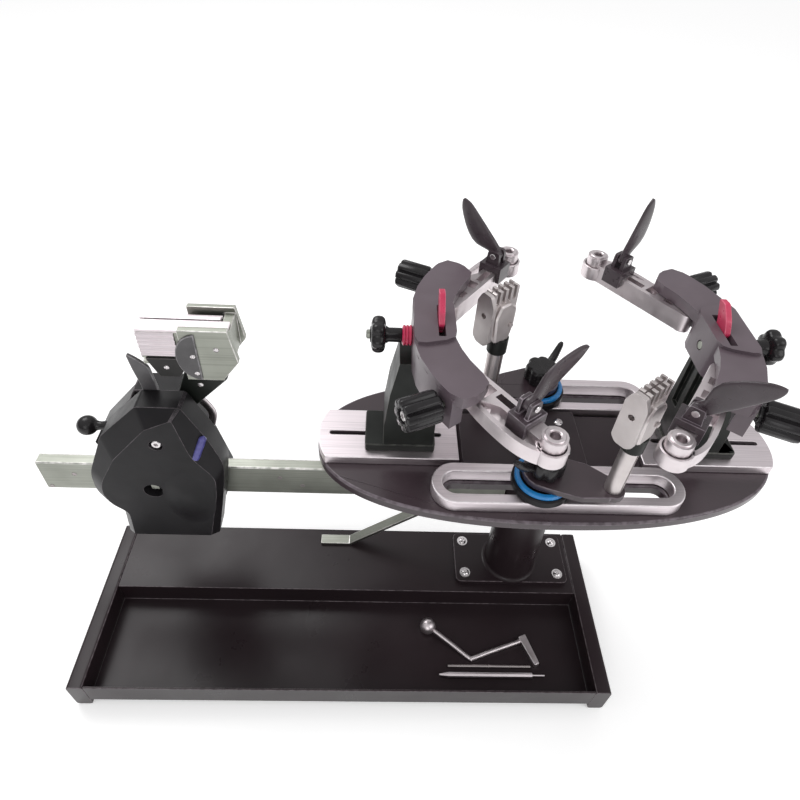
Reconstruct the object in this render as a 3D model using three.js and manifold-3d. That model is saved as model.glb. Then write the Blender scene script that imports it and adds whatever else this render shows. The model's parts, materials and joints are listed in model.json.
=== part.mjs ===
// Racket stringing machine: a steel base with a tool tray, a crank tension head on a
// rail, and a turntable that carries two racket towers and two string clamps.
// Millimetres. +X runs to the right along the rail, +Y to the back, +Z up.

import * as THREE from 'three';
import { mergeVertices } from 'three/addons/utils/BufferGeometryUtils.js';
import Module from 'manifold-3d';

const wasm = await Module();
wasm.setup();

// Clearances and helpers that all pieces share
const FIT = { seat: 0.3, running: 0.4, overrun: 2, weld: 1e-4 };
const DEGREE = Math.PI / 180;

// Sides of the round pieces, from the thinnest to the widest
const ROUND = { hex: 6, pin: 8, rod: 10, boss: 12, disc: 16, ring: 20, column: 28 };

// Steps along curves: a small corner, a wide end, one lobe of a knob, a sector, the table's edge
const CURVE = { corner: 2, wide: 4, lobe: 3, sector: 11, outline: 48, fullest: 0.95 };

// Base: folded sheet chassis between two side rails
const BASE = {
  length: 560, depth: 190, height: 42, sheet: 2, trayDepth: 110, trayBottom: 12, skirtBottom: 14,
};
const SIDE_RAIL = { width: 17, wall: 2, corner: 3.5 };

// Column, its bush and the turntable's spindle
const COLUMN = {
  fromCentre: 190, fromMiddle: 57, radius: 29, wall: 4,
  plateLength: 132, plateWidth: 64, plateThickness: 6, plateCorner: 7, weld: 5,
};
const BUSH = { height: 14, proud: 4.4, lip: 1.5 };
const SPINDLE = { flangeRadius: 45, flangeThickness: 6, shaftRadius: 14, shaftLength: 115 };

// Tension rail and the brace that props the column
const RAIL = {
  leftEnd: 306, width: 12, height: 40, below: 45, forward: 4, edge: 0.8,
};
const BRACE = { width: 12, thickness: 4, footLength: 36, heel: 2, back: 22, rise: 136 };

// Tension head, set out from the crank axis
const HEAD = {
  crankX: 180, crankAbove: 6.6, width: 128, height: 185, front: 12, coverBack: 40.7,
  frontWall: 9, wall: 3, bevel: 8, rearBack: 90, crankHole: 9, boltHole: 6, boltDepth: 5,
  boltX: 16, boltZ: 65,
};
const CARRIAGE = {
  left: 34, right: 40, drop: 72, rise: 32, shoulder: 55, shoulderRight: 15, front: 41, back: 65,
  slotFront: 46.5, slotBack: 57.5, slotLeft: 16, slotFloor: 6, rollerGap: 0.5,
  tabLeft: 6, tabRight: 17, tabTop: 82, tabFront: 45, tabBack: 49,
};
const CRANK = { shaftRadius: 4.5, square: 7, squareLength: 8, start: 17, end: 61 };
const TENSION_KNOB = {
  above: 41, depthwise: 55, ball: 9.5, neck: 5, screw: 3, reach: 64, thread: 20,
};
const BRAKE = {
  x: 12, z: 74, boss: 6.5, pin: 3, front: 41.1, thickness: 3.4, reach: 70, width: 12,
};
const GRIP_ARM = {
  pivotX: 30, pivotZ: 18, boss: 9, pin: 3, front: 47, back: 57, top: 123, waistZ: 76,
  waistLeft: 25, waistRight: 41, topLeft: 43, topRight: 78, tailWidth: 8, tailReach: 58,
};
const GRIP = {
  left: 15, right: 79, web: 5, front: 35, cheek: 6, jawFront: 41, jawBack: 52.4, jawGap: 1.2,
  jawThickness: 9, rearFront: 66.2, back: 71, jawBottom: 136, top: 170, cheekLeft: 49, cheekRight: 93,
  notch: 2.4, notchPitch: 8,
};

// Turntable: plate, cover, bands and glide bars, heights counted from the band's top
const TABLE = {
  height: 268, halfLength: 220, halfWidth: 90.5, exponent: 2.3, top: 10, thickness: 11, edge: 2.5,
  slotWidth: 19,
};
const BAND = {
  inner: 87, halfWidth: 30, inset: 0.8, slotInner: 102.4, slotOuter: 209.2, slotWidth: 5,
  cavityWidth: 14, lip: 4.3,
};
const COVER = { halfLength: 86.4, halfWidth: 34, top: 2, bevel: 3, hubHalf: 32, hubRise: 4 };
const GLIDE = { length: 229, width: 44, slot: 24, centre: 58, top: 4, bevel: 1.5 };

// Towers. A sled and a post are set out from the yoke's inner edge, a screw from its outer face.
const SLED = {
  inner: 3, outer: 68, halfWidth: 22, top: 9, corner: 3, keelInner: 21, keelOuter: 50,
  keelHalf: 2.1, footHalf: 6.2, footTop: 4.9, footBottom: 8.6,
};
const POST = {
  inner: 5, outerFoot: 51, outerTop: 40, bulge: 47, blockTop: 34, halfFoot: 21, halfTop: 17,
  top: 104.7, pocketDepth: 4, pocketWidth: 10, pocketGap: 6, pocketLow: 44, pocketHigh: 96,
};
const YOKE = {
  outer: 141, width: 34, flat: 3.5, wall: 12, span: 42, top: 139, skin: 10, bottom: 105, corner: 14,
  hubSpan: 14, hubRise: 3, hubCorner: 9, bore: 4.4, axis: 122, slotDepth: 13, slotFront: 24, slotBack: 16,
  endTaper: 4,
};
const FIN = { inset: 6, thickness: 5, pivotZ: 133, pivotV: 2, length: 26, height: 27, pin: 2, boss: 4.6 };
const SCREW = {
  radius: 4, inside: 3, collarRadius: 8.5, collar: 8, groove: 1.3, hubRadius: 6,
  hub: 13.5, starRadius: 13.6, starLobe: 1.8, star: 12, tip: 4, lobes: 6,
};
const KNOB = {
  radius: 12.2, lobe: 0.9, lobes: 8, length: 29, bevel: 1.6, recess: 6.8, recessDepth: 3, screw: 3,
  bore: 4.2, around: 33.5, axisTurn: 25, standOff: 0.8, collar: 6.6, collarLength: 3,
};
const ARM = {
  pivotInset: 37, pivotY: 37, turn: 127.2, length: 100, halfWidth: 7, bulge: 14, bulgeStart: 14,
  bulgeEnd: 42, neck: 56, low: 111.5, high: 128.5, boss: 7.6, pinHole: 3.2, pin: 2.7, pinEnd: 109,
  tipRadius: 9.5, tipHole: 4, tipRise: 5.5, rib: 4, window: 7, pocket: 6, pocketDepth: 7,
};
const SHOE = {
  along: 74, length: 18, cheek: 3.6, top: 6, drop: 9, ear: 3.4, earHeight: 13, earHalf: 7, earTop: 5.6,
};
const FINGER = {
  pivotRise: 8.4, thickness: 5, knuckle: 5.5, pin: 2, pinHole: 2.5, length: 58, width: 24, neck: 10,
};
const FINGER_LEAN = { front_left: -68, back_left: 38, front_right: 50, back_right: 10 };
const FINGER_BELLY = { front_left: 1, back_left: 1, front_right: -1, back_right: 1 };

// String clamps
const CLAMPS = {
  front: { at: -17, side: -1, armTurn: -18.1, leverTurn: 203 },
  back: { at: -2, side: 1, armTurn: 200.2, leverTurn: 50 },
};
const CLAMP = {
  reach: 58, disc: 27, discTop: 13, ringOuter: 25, ringInner: 20.6, ringTop: 16.9, boss: 8,
  bossTop: 24, stud: 5, nut: 12, nutThickness: 8, armLow: 17.3, armHigh: 23.8, hub: 19.5, post: 11,
  waist: 34,
};
const LEVER = {
  hub: 14.5, lobe: 1.4, lobes: 7, low: 24.4, high: 42, bevel: 2, reach: 36, handle: 4.2, lift: 17,
  bendShare: 0.55, bendLiftShare: 0.3, taperShare: 0.9, tipShare: 0.5,
};
const JAW = {
  headTurn: 37, rod: 7.5, groove: 1.8, grooveDepth: 3, spigot: 5, offset: 8, width: 29, thickness: 4.6,
  gap: 1.2, low: 97, top: 150, tooth: 3, toothDepth: 13, teeth: 4, cheekTop: 137, cheekWidth: 24,
  cheekThickness: 4.2, cheekBevel: 1.4, pinZ: 113, pin: 2.2, endPlate: 4, endHalf: 9.5, endTop: 149,
  endHole: 2.8, neck: 18,
};

// Loose tools in the tray, on the machine's own axes
const CRANK_TOOL = {
  rod: 2.6, ball: 9, ballX: 91, ballY: -17.5, elbowX: 138, elbowY: -51.5, kneeX: 200, kneeY: -30,
  endX: 211, endY: -58, endWidth: 9, endThickness: 7,
};
const HEX_KEY = { radius: 1.6, fromX: 112, toX: 204, y: -58.5 };
const AWL = { radius: 3, x: 102, y: -68.5, taper: 10, body: 92, point: 14, pointRadius: 1.1 };

// Heights and places that follow from the sizes above
const columnTop = TABLE.height - TABLE.top - TABLE.thickness - FIT.seat - SPINDLE.flangeThickness
  - FIT.seat - BUSH.proud;
const railTop = TABLE.height - RAIL.below;
const yokeInner = YOKE.outer - YOKE.width;
const yokeFace = YOKE.outer - YOKE.flat;
const armPivot = YOKE.outer - ARM.pivotInset;

// Shapes and solids

function toSolid(geometry) {
  const bare = geometry.clone();
  bare.deleteAttribute('normal');
  bare.deleteAttribute('uv');
  const merged = mergeVertices(bare, FIT.weld);
  const corners = merged.index.array;
  const kept = [];
  for (let i = 0; i < corners.length; i += 3) {
    const [a, b, c] = [corners[i], corners[i + 1], corners[i + 2]];
    if (a !== b && b !== c && c !== a) kept.push(a, b, c);
  }
  return new wasm.Manifold(new wasm.Mesh({
    numProp: 3,
    vertProperties: new Float32Array(merged.attributes.position.array),
    triVerts: new Uint32Array(kept),
  }));
}

function fromSolid(solid) {
  const { vertProperties, triVerts } = solid.getMesh();
  const geometry = new THREE.BufferGeometry();
  geometry.setAttribute('position', new THREE.BufferAttribute(new Float32Array(vertProperties), 3));
  geometry.setIndex(new THREE.BufferAttribute(new Uint32Array(triVerts), 1));
  return geometry;
}

function join(...pieces) {
  return fromSolid(pieces.map(toSolid).reduce((whole, piece) => whole.add(piece)));
}

function cut(body, ...tools) {
  return fromSolid(tools.map(toSolid).reduce((whole, tool) => whole.subtract(tool), toSolid(body)));
}

function common(a, b) {
  return fromSolid(toSolid(a).intersect(toSolid(b)));
}

// A closed outline through the given corners
function polygon(points) {
  return new THREE.Shape(points.map(([x, y]) => new THREE.Vector2(x, y)));
}

// The same outline with every corner rounded off
function rounded(points, radius) {
  const shape = new THREE.Shape();
  const corners = points.map(([x, y]) => new THREE.Vector2(x, y));
  corners.forEach((corner, i) => {
    const before = corners[(i + corners.length - 1) % corners.length];
    const after = corners[(i + 1) % corners.length];
    const start = corner.clone().add(before.clone().sub(corner).setLength(radius));
    const end = corner.clone().add(after.clone().sub(corner).setLength(radius));
    if (i === 0) shape.moveTo(start.x, start.y);
    else shape.lineTo(start.x, start.y);
    shape.quadraticCurveTo(corner.x, corner.y, end.x, end.y);
  });
  shape.closePath();
  return shape;
}

// Takes shares of a width and a height to a place
function spread(shares, width, height, x = 0, y = 0) {
  return shares.map(([across, up]) => [x + across * width, y + up * height]);
}

function rectangle(width, depth, radius) {
  const [x, y] = [width / 2, depth / 2];
  return rounded([[-x, -y], [x, -y], [x, y], [-x, y]], radius);
}

// A slot outline with half-round ends, along X
function obround(length, width, x = 0, y = 0) {
  const reach = (length - width) / 2;
  const shape = new THREE.Shape();
  shape.absarc(x + reach, y, width / 2, -Math.PI / 2, Math.PI / 2, false);
  shape.absarc(x - reach, y, width / 2, Math.PI / 2, Math.PI * 1.5, false);
  shape.closePath();
  return shape;
}

// A round outline whose radius waves in and out
function lobed(radius, lobe, lobes) {
  const points = [];
  const steps = lobes * CURVE.lobe;
  for (let i = 0; i < steps; i += 1) {
    const angle = (i / steps) * Math.PI * 2;
    const r = radius + lobe * Math.cos(lobes * angle);
    points.push([r * Math.cos(angle), r * Math.sin(angle)]);
  }
  return polygon(points);
}

// A prism from low to high, with chamfered edges where a bevel is given
function prism(shape, low, high, bevel = 0, curveSegments = CURVE.corner) {
  const geometry = new THREE.ExtrudeGeometry(shape, {
    depth: high - low - 2 * bevel,
    bevelEnabled: bevel > 0,
    bevelThickness: bevel,
    bevelSize: bevel,
    bevelOffset: -bevel,
    bevelSegments: 1,
    curveSegments,
  });
  return geometry.translate(0, 0, low + bevel);
}

// A prism whose outline lies in XZ and runs along Y
function prismXZ(shape, front, back, bevel = 0, curveSegments = CURVE.corner) {
  const turn = new THREE.Matrix4().makeBasis(
    new THREE.Vector3(1, 0, 0), new THREE.Vector3(0, 0, 1), new THREE.Vector3(0, -1, 0));
  return prism(shape, 0, back - front, bevel, curveSegments).applyMatrix4(turn).translate(0, back, 0);
}

// A prism whose outline lies in YZ and runs along X
function prismYZ(shape, left, right, bevel = 0, curveSegments = CURVE.corner) {
  const turn = new THREE.Matrix4().makeBasis(
    new THREE.Vector3(0, 1, 0), new THREE.Vector3(0, 0, 1), new THREE.Vector3(1, 0, 0));
  return prism(shape, 0, right - left, bevel, curveSegments).applyMatrix4(turn).translate(left, 0, 0);
}

function block(x0, x1, y0, y1, z0, z1) {
  return new THREE.BoxGeometry(x1 - x0, y1 - y0, z1 - z0)
    .translate((x0 + x1) / 2, (y0 + y1) / 2, (z0 + z1) / 2);
}

// A round bar between two points
function bar(from, to, radius, sides, endRadius = radius) {
  const [a, b] = [new THREE.Vector3(...from), new THREE.Vector3(...to)];
  const way = b.clone().sub(a);
  const turn = new THREE.Quaternion().setFromUnitVectors(
    new THREE.Vector3(0, 1, 0), way.clone().normalize());
  const middle = a.clone().add(b).multiplyScalar(0.5);
  return new THREE.CylinderGeometry(endRadius, radius, way.length(), sides)
    .applyQuaternion(turn).translate(middle.x, middle.y, middle.z);
}

function disc(radius, low, high, sides, x = 0, y = 0) {
  return bar([x, y, low], [x, y, high], radius, sides);
}

function ball(radius) {
  return new THREE.SphereGeometry(radius, ROUND.rod, ROUND.rod / 2);
}

// A strip of even thickness on the left of a bent line
function strip(path, thickness) {
  const line = path.map(([x, y]) => new THREE.Vector2(x, y));
  const normals = line.slice(1).map((point, i) => {
    const way = point.clone().sub(line[i]).normalize();
    return new THREE.Vector2(-way.y, way.x);
  });
  const side = line.map((point, i) => {
    const first = normals[Math.max(i - 1, 0)];
    const second = normals[Math.min(i, normals.length - 1)];
    const mitre = first.clone().add(second).multiplyScalar(thickness / (1 + first.dot(second)));
    return point.clone().add(mitre);
  });
  return new THREE.Shape([...line, ...side.reverse()]);
}

function inset(points, distance) {
  return points.map(([x, y], i) => {
    const [px, py] = points[(i + points.length - 1) % points.length];
    const [nx, ny] = points[(i + 1) % points.length];
    const first = new THREE.Vector2(x - px, y - py).normalize();
    const second = new THREE.Vector2(nx - x, ny - y).normalize();
    const a = new THREE.Vector2(-first.y, first.x);
    const b = new THREE.Vector2(-second.y, second.x);
    const mitre = a.clone().add(b).multiplyScalar(distance / (1 + a.dot(b)));
    return [x + mitre.x, y + mitre.y];
  });
}

// Finishes
const finish = (color, roughness, metalness) => (
  new THREE.MeshStandardMaterial({ color, roughness, metalness }));
const FINISH = {
  paint: () => finish(0x2b2427, 0.45, 0.2),
  yoke: () => finish(0x6c6068, 0.4, 0.3),
  plastic: () => finish(0x1d1b1e, 0.4, 0),
  steel: () => finish(0xa9ac9f, 0.3, 0.9),
  aluminium: () => finish(0xcfc6c9, 0.35, 0.8),
  dark: () => finish(0x4a4047, 0.45, 0.3),
  red: () => finish(0xc83a63, 0.4, 0),
};

const machine = new THREE.Group();

function add(parent, name, geometry, material) {
  const mesh = new THREE.Mesh(fromSolid(toSolid(geometry)), material());
  mesh.geometry.computeVertexNormals();
  mesh.name = name;
  parent.add(mesh);
  return mesh;
}

// Base

const halfDepth = BASE.depth / 2;
const chassisHalf = BASE.length / 2 - SIDE_RAIL.width - FIT.seat;
const trayBack = BASE.trayDepth - halfDepth;

function buildBase() {
  const deck = [
    [halfDepth - BASE.sheet, BASE.skirtBottom], [halfDepth - BASE.sheet, BASE.height - BASE.sheet],
    [trayBack + BASE.sheet, BASE.height - BASE.sheet], [trayBack + BASE.sheet, BASE.trayBottom],
  ];
  const tray = [
    [trayBack, BASE.trayBottom + BASE.sheet], [BASE.sheet - halfDepth, BASE.trayBottom + BASE.sheet],
    [BASE.sheet - halfDepth, BASE.height],
  ];
  const deckSheet = prismYZ(strip(deck.reverse(), BASE.sheet), -chassisHalf, chassisHalf);
  const traySheet = prismYZ(strip(tray, BASE.sheet), -chassisHalf, chassisHalf);
  add(machine, 'base_chassis', join(deckSheet, traySheet), FINISH.paint);

  for (const [name, side] of [['side_rail_left', -1], ['side_rail_right', 1]]) {
    const section = rounded([
      [-SIDE_RAIL.width / 2, 0], [SIDE_RAIL.width / 2, 0],
      [SIDE_RAIL.width / 2, BASE.height], [-SIDE_RAIL.width / 2, BASE.height],
    ], SIDE_RAIL.corner);
    const outside = prismXZ(section, -halfDepth, halfDepth);
    const hollowHalf = SIDE_RAIL.width / 2 - SIDE_RAIL.wall;
    const hollow = block(-hollowHalf, hollowHalf, SIDE_RAIL.wall - halfDepth, halfDepth + FIT.overrun,
      SIDE_RAIL.wall, BASE.height - SIDE_RAIL.wall);
    const rail = cut(outside, hollow).translate(side * (BASE.length - SIDE_RAIL.width) / 2, 0, 0);
    add(machine, name, rail, FINISH.paint);
  }
}

// Column with its foot plate, and the bush in its mouth

const plateTop = BASE.height + FIT.seat + COLUMN.plateThickness;
const bushTop = columnTop + BUSH.proud;

function buildColumn() {
  const place = new THREE.Group();
  place.position.set(COLUMN.fromCentre, COLUMN.fromMiddle, 0);
  machine.add(place);
  const plate = prism(rectangle(COLUMN.plateLength, COLUMN.plateWidth, COLUMN.plateCorner),
    BASE.height + FIT.seat, plateTop);
  const tube = disc(COLUMN.radius, plateTop - COLUMN.plateThickness / 2, columnTop, ROUND.column);
  const bead = bar([0, 0, plateTop - FIT.seat], [0, 0, plateTop + COLUMN.weld],
    COLUMN.radius + COLUMN.weld, ROUND.column, COLUMN.radius);
  const bore = disc(COLUMN.radius - COLUMN.wall, BASE.height, columnTop + FIT.overrun, ROUND.column);
  add(place, 'column', cut(join(plate, tube, bead), bore), FINISH.paint);

  const sleeve = disc(COLUMN.radius - COLUMN.wall - FIT.seat, columnTop - BUSH.height, bushTop, ROUND.ring);
  const rim = disc(COLUMN.radius - BUSH.lip, columnTop + FIT.seat, bushTop, ROUND.ring);
  const eye = disc(SPINDLE.shaftRadius + FIT.running, columnTop - BUSH.height - FIT.overrun,
    bushTop + FIT.overrun, ROUND.ring);
  add(place, 'column_bearing', cut(join(sleeve, rim), eye), FINISH.steel);
}

// Tension rail and brace

const railFront = COLUMN.fromMiddle - RAIL.forward - RAIL.width / 2;
const railBack = railFront + RAIL.width;
const railBottom = railTop - RAIL.height;

function buildRail() {
  const rightEnd = COLUMN.fromCentre - COLUMN.radius - FIT.seat;
  const edge = RAIL.edge;
  const section = polygon([
    [railFront, railBottom], [railBack, railBottom], [railBack, railTop - edge], [railBack - edge, railTop],
    [railFront + edge, railTop], [railFront, railTop - edge],
  ]);
  add(machine, 'tension_rail', prismYZ(section, -RAIL.leftEnd, rightEnd), FINISH.steel);

  const foot = BASE.height + FIT.seat;
  const reach = COLUMN.fromCentre - Math.sqrt(COLUMN.radius ** 2 - (BRACE.back - BRACE.width / 2) ** 2);
  const line = [
    [-BRACE.heel - BRACE.footLength, foot], [-BRACE.heel, foot],
    [reach - FIT.seat - BRACE.thickness, foot + BRACE.rise],
  ];
  const middle = COLUMN.fromMiddle + BRACE.back;
  const flat = prismXZ(strip(line, BRACE.thickness), middle - BRACE.width / 2, middle + BRACE.width / 2);
  add(machine, 'rail_brace', flat, FINISH.steel);
}

// Tension head. Its outlines are shares of its width and height about the crank axis.

const crankZ = railTop + HEAD.crankAbove;
const frontShares = [
  [-0.34, -0.43], [0.37, -0.43], [0.49, -0.02], [0.53, 0.17], [0.46, 0.35], [0.33, 0.565],
  [0.04, 0.565], [-0.26, 0.36], [-0.445, 0.075], [-0.455, -0.06], [-0.41, -0.15], [-0.31, -0.22],
];
const rearShares = [
  [-0.34, -0.43], [0.35, -0.43], [0.41, -0.23], [0.31, 0.1], [0.22, 0.425], [-0.13, 0.425],
  [-0.18, 0.355], [-0.46, 0.14], [-0.56, 0.02], [-0.5, -0.1], [-0.34, -0.22],
];
const headPoints = (shares) => spread(shares, HEAD.width, HEAD.height);

function buildHead() {
  const head = new THREE.Group();
  head.position.set(-HEAD.crankX, 0, crankZ);
  machine.add(head);
  const railBelow = railTop - crankZ;
  const railGap = (extra) => block(-HEAD.width, HEAD.width, railFront - extra, railBack + extra,
    railBelow - RAIL.height - extra, railBelow + extra);

  const frontPoints = headPoints(frontShares);
  const face = prismXZ(polygon(frontPoints), HEAD.front, HEAD.coverBack + HEAD.bevel, HEAD.bevel);
  const trim = block(-HEAD.width, HEAD.width, HEAD.front - FIT.overrun, HEAD.coverBack,
    -HEAD.height, HEAD.height);
  const hollow = prismXZ(polygon(inset(frontPoints, HEAD.wall + HEAD.bevel / 2)), HEAD.front + HEAD.frontWall,
    HEAD.coverBack + FIT.overrun);
  const crankHole = bar([0, HEAD.front - FIT.overrun, 0], [0, HEAD.coverBack, 0], HEAD.crankHole, ROUND.boss);
  const boltHole = bar([HEAD.boltX, HEAD.front - FIT.overrun, HEAD.boltZ],
    [HEAD.boltX, HEAD.front + HEAD.boltDepth, HEAD.boltZ], HEAD.boltHole, ROUND.rod);
  add(head, 'head_front_cover', cut(common(face, trim), hollow, crankHole, boltHole), FINISH.plastic);

  const rearPoints = headPoints(rearShares);
  const rearFront = CARRIAGE.back + FIT.seat;
  const shell = prismXZ(polygon(rearPoints), rearFront, HEAD.rearBack);
  const rearHollow = prismXZ(polygon(inset(rearPoints, HEAD.wall)), rearFront - FIT.overrun,
    HEAD.rearBack - HEAD.wall);
  add(head, 'head_rear_cover', cut(shell, rearHollow), FINISH.plastic);

  const body = prismXZ(polygon([
    [-CARRIAGE.left, -CARRIAGE.drop], [CARRIAGE.right, -CARRIAGE.drop], [CARRIAGE.right, CARRIAGE.rise],
    [CARRIAGE.shoulderRight, CARRIAGE.rise], [CARRIAGE.shoulderRight, CARRIAGE.shoulder],
    [-CARRIAGE.left, CARRIAGE.shoulder],
  ]), CARRIAGE.front, CARRIAGE.back);
  const tab = block(CARRIAGE.tabLeft, CARRIAGE.tabRight, CARRIAGE.tabFront, CARRIAGE.tabBack,
    CARRIAGE.shoulder - FIT.overrun, CARRIAGE.tabTop);
  const armSlot = block(CARRIAGE.slotLeft, HEAD.width, CARRIAGE.slotFront, CARRIAGE.slotBack,
    CARRIAGE.slotFloor, CARRIAGE.shoulder + FIT.overrun);
  const armPin = bar([GRIP_ARM.pivotX, CARRIAGE.slotFront - FIT.overrun, GRIP_ARM.pivotZ],
    [GRIP_ARM.pivotX, CARRIAGE.slotBack + FIT.overrun, GRIP_ARM.pivotZ], GRIP_ARM.pin, ROUND.rod);
  const brakePin = bar([BRAKE.x, CARRIAGE.tabFront + FIT.overrun, BRAKE.z],
    [BRAKE.x, BRAKE.front - FIT.seat, BRAKE.z], BRAKE.pin, ROUND.pin);
  const rollerRadius = HEAD.crankAbove - FIT.seat;
  const rollerPocket = bar([0, railFront - FIT.seat, 0], [0, railBack + FIT.seat, 0],
    rollerRadius + CARRIAGE.rollerGap, ROUND.disc);
  const shaftBore = bar([0, CARRIAGE.front - FIT.overrun, 0], [0, CARRIAGE.back - FIT.overrun, 0],
    CRANK.shaftRadius + FIT.running, ROUND.boss);
  const knobBore = bar([-CARRIAGE.left - FIT.overrun, TENSION_KNOB.depthwise, TENSION_KNOB.above],
    [TENSION_KNOB.thread + FIT.overrun - CARRIAGE.left, TENSION_KNOB.depthwise, TENSION_KNOB.above],
    TENSION_KNOB.screw + FIT.running, ROUND.rod);
  const carriage = cut(join(body, tab), railGap(FIT.seat), armSlot, rollerPocket, shaftBore, knobBore);
  add(head, 'head_carriage', join(carriage, armPin, brakePin), FINISH.dark);

  const shaft = bar([0, CRANK.start + CRANK.squareLength / 2, 0], [0, CRANK.end, 0],
    CRANK.shaftRadius, ROUND.boss);
  const square = block(-CRANK.square / 2, CRANK.square / 2, CRANK.start, CRANK.start + CRANK.squareLength,
    -CRANK.square / 2, CRANK.square / 2);
  const roller = bar([0, railFront, 0], [0, railBack, 0], rollerRadius, ROUND.disc);
  add(head, 'crank_shaft', join(shaft, square, roller), FINISH.steel);

  const knobLine = [TENSION_KNOB.depthwise, TENSION_KNOB.above];
  const knobBall = ball(TENSION_KNOB.ball)
    .translate(-TENSION_KNOB.reach, ...knobLine);
  const knobNeck = bar([-TENSION_KNOB.reach, ...knobLine],
    [TENSION_KNOB.ball * 2 - TENSION_KNOB.reach, ...knobLine], TENSION_KNOB.neck, ROUND.rod);
  const knobScrew = bar([-TENSION_KNOB.reach, ...knobLine],
    [TENSION_KNOB.thread - CARRIAGE.left, ...knobLine], TENSION_KNOB.screw, ROUND.pin);
  add(head, 'tension_knob', join(knobBall, knobNeck, knobScrew), FINISH.plastic);

  buildBrake(head);
  buildGripper(head);
}

// The brake lever's blade, as shares of its width and reach
const bladeShares = [
  [-0.5, 0], [0.5, 0], [0.55, 0.45], [0.35, 0.8], [-0.35, 0.92], [-0.95, 1], [-0.8, 0.75], [-0.55, 0.5],
];

function buildBrake(head) {
  const blade = rounded(spread(bladeShares, BRAKE.width, BRAKE.reach), BRAKE.pin);
  const back = BRAKE.front + BRAKE.thickness;
  const plate = prismXZ(blade, BRAKE.front, back);
  const boss = bar([0, BRAKE.front, 0], [0, back, 0], BRAKE.boss, ROUND.boss);
  const eye = bar([0, BRAKE.front - FIT.overrun, 0], [0, back + FIT.overrun, 0],
    BRAKE.pin + FIT.running, ROUND.rod);
  const lever = cut(join(plate, boss), eye);
  add(head, 'brake_lever', lever.translate(BRAKE.x, 0, BRAKE.z), FINISH.steel);
}

// The gripper arm's tail, as shares of its width and reach about the waist's right corner
const tailShares = [[-1, 0.14], [0.5, 0.14], [1.5, -0.33], [1, -0.8], [0, -0.7], [0.5, -0.33]];

function buildGripper(head) {
  const a = GRIP_ARM;
  const plate = prismXZ(rounded([
    [a.pivotX - a.boss, a.pivotZ], [a.pivotX + a.boss, a.pivotZ], [a.waistRight, a.waistZ],
    [a.topRight, a.top - a.boss], [a.topRight, a.top], [a.topLeft, a.top], [a.waistLeft, a.waistZ],
  ], a.pin), a.front, a.back);
  const boss = bar([a.pivotX, a.front, a.pivotZ], [a.pivotX, a.back, a.pivotZ], a.boss, ROUND.boss);
  const eye = bar([a.pivotX, a.front - FIT.overrun, a.pivotZ], [a.pivotX, a.back + FIT.overrun, a.pivotZ],
    a.pin + FIT.running, ROUND.rod);
  const tail = prismXZ(rounded(spread(tailShares, a.tailWidth, a.tailReach, a.waistRight, a.waistZ), a.pin),
    a.back - a.pin, a.back);
  add(head, 'gripper_arm', cut(join(plate, boss, tail), eye), FINISH.plastic);

  const g = GRIP;
  const webLow = a.top + FIT.seat;
  const cheek = [
    [g.cheekLeft, webLow], [g.cheekRight - g.web * 3, webLow], [g.cheekRight, webLow + g.web * 4],
    [g.cheekRight - g.web, g.top + g.web], [g.cheekLeft, g.top + g.web],
  ];
  const frontCheek = prismXZ(polygon(cheek), g.front, g.front + g.cheek);
  const rearCheek = prismXZ(polygon(cheek), g.rearFront, g.back);
  const web = block(g.cheekLeft, g.right, g.front, g.back, webLow, webLow + g.web);
  const endWeb = block(g.right + FIT.seat + FIT.running, g.cheekRight - g.web, g.front, g.back,
    webLow + g.web * 3, g.top);
  const fixedJaw = block(g.left, g.right, g.jawFront - FIT.overrun, g.jawBack, g.jawBottom, g.top);
  const notches = [];
  for (let z = g.jawBottom + g.notchPitch / 2; z < g.top - g.notch; z += g.notchPitch) {
    notches.push(block(g.left - FIT.overrun, g.left + g.notch, g.front, g.back, z, z + g.notch));
  }
  const jaws = cut(join(frontCheek, rearCheek, web, endWeb, fixedJaw), ...notches);
  add(head, 'gripper_block', jaws, FINISH.steel);

  const jawFront = g.jawBack + g.jawGap;
  const jaw = block(g.left, g.right, jawFront, jawFront + g.jawThickness, g.jawBottom, g.top);
  const lip = block(g.left, g.right, jawFront, jawFront + g.jawThickness / 2,
    g.top - FIT.seat, g.top + g.notch);
  add(head, 'gripper_jaw', cut(join(jaw, lip), ...notches), FINISH.aluminium);
}

// Turntable

const table = new THREE.Group();
table.position.set(COLUMN.fromCentre, COLUMN.fromMiddle, TABLE.height);

// The plate's edge: a superellipse, drawn in by an inset
function tableEdge(inward, v) {
  const [a, b] = [TABLE.halfLength - inward, TABLE.halfWidth - inward];
  return a * (1 - Math.abs(v / b) ** TABLE.exponent) ** (1 / TABLE.exponent);
}

function tableOutline(inward) {
  const steps = CURVE.outline;
  const [a, b] = [TABLE.halfLength - inward, TABLE.halfWidth - inward];
  const power = 2 / TABLE.exponent;
  const points = [];
  for (let i = 0; i < steps; i += 1) {
    const angle = ((i + 0.5) / steps) * Math.PI * 2;
    const [c, s] = [Math.cos(angle), Math.sin(angle)];
    points.push([a * Math.sign(c) * Math.abs(c) ** power, b * Math.sign(s) * Math.abs(s) ** power]);
  }
  return points;
}

const glideEnd = (GLIDE.width - GLIDE.slot) / 2;
const glideSlot = GLIDE.length - 2 * glideEnd;

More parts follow.
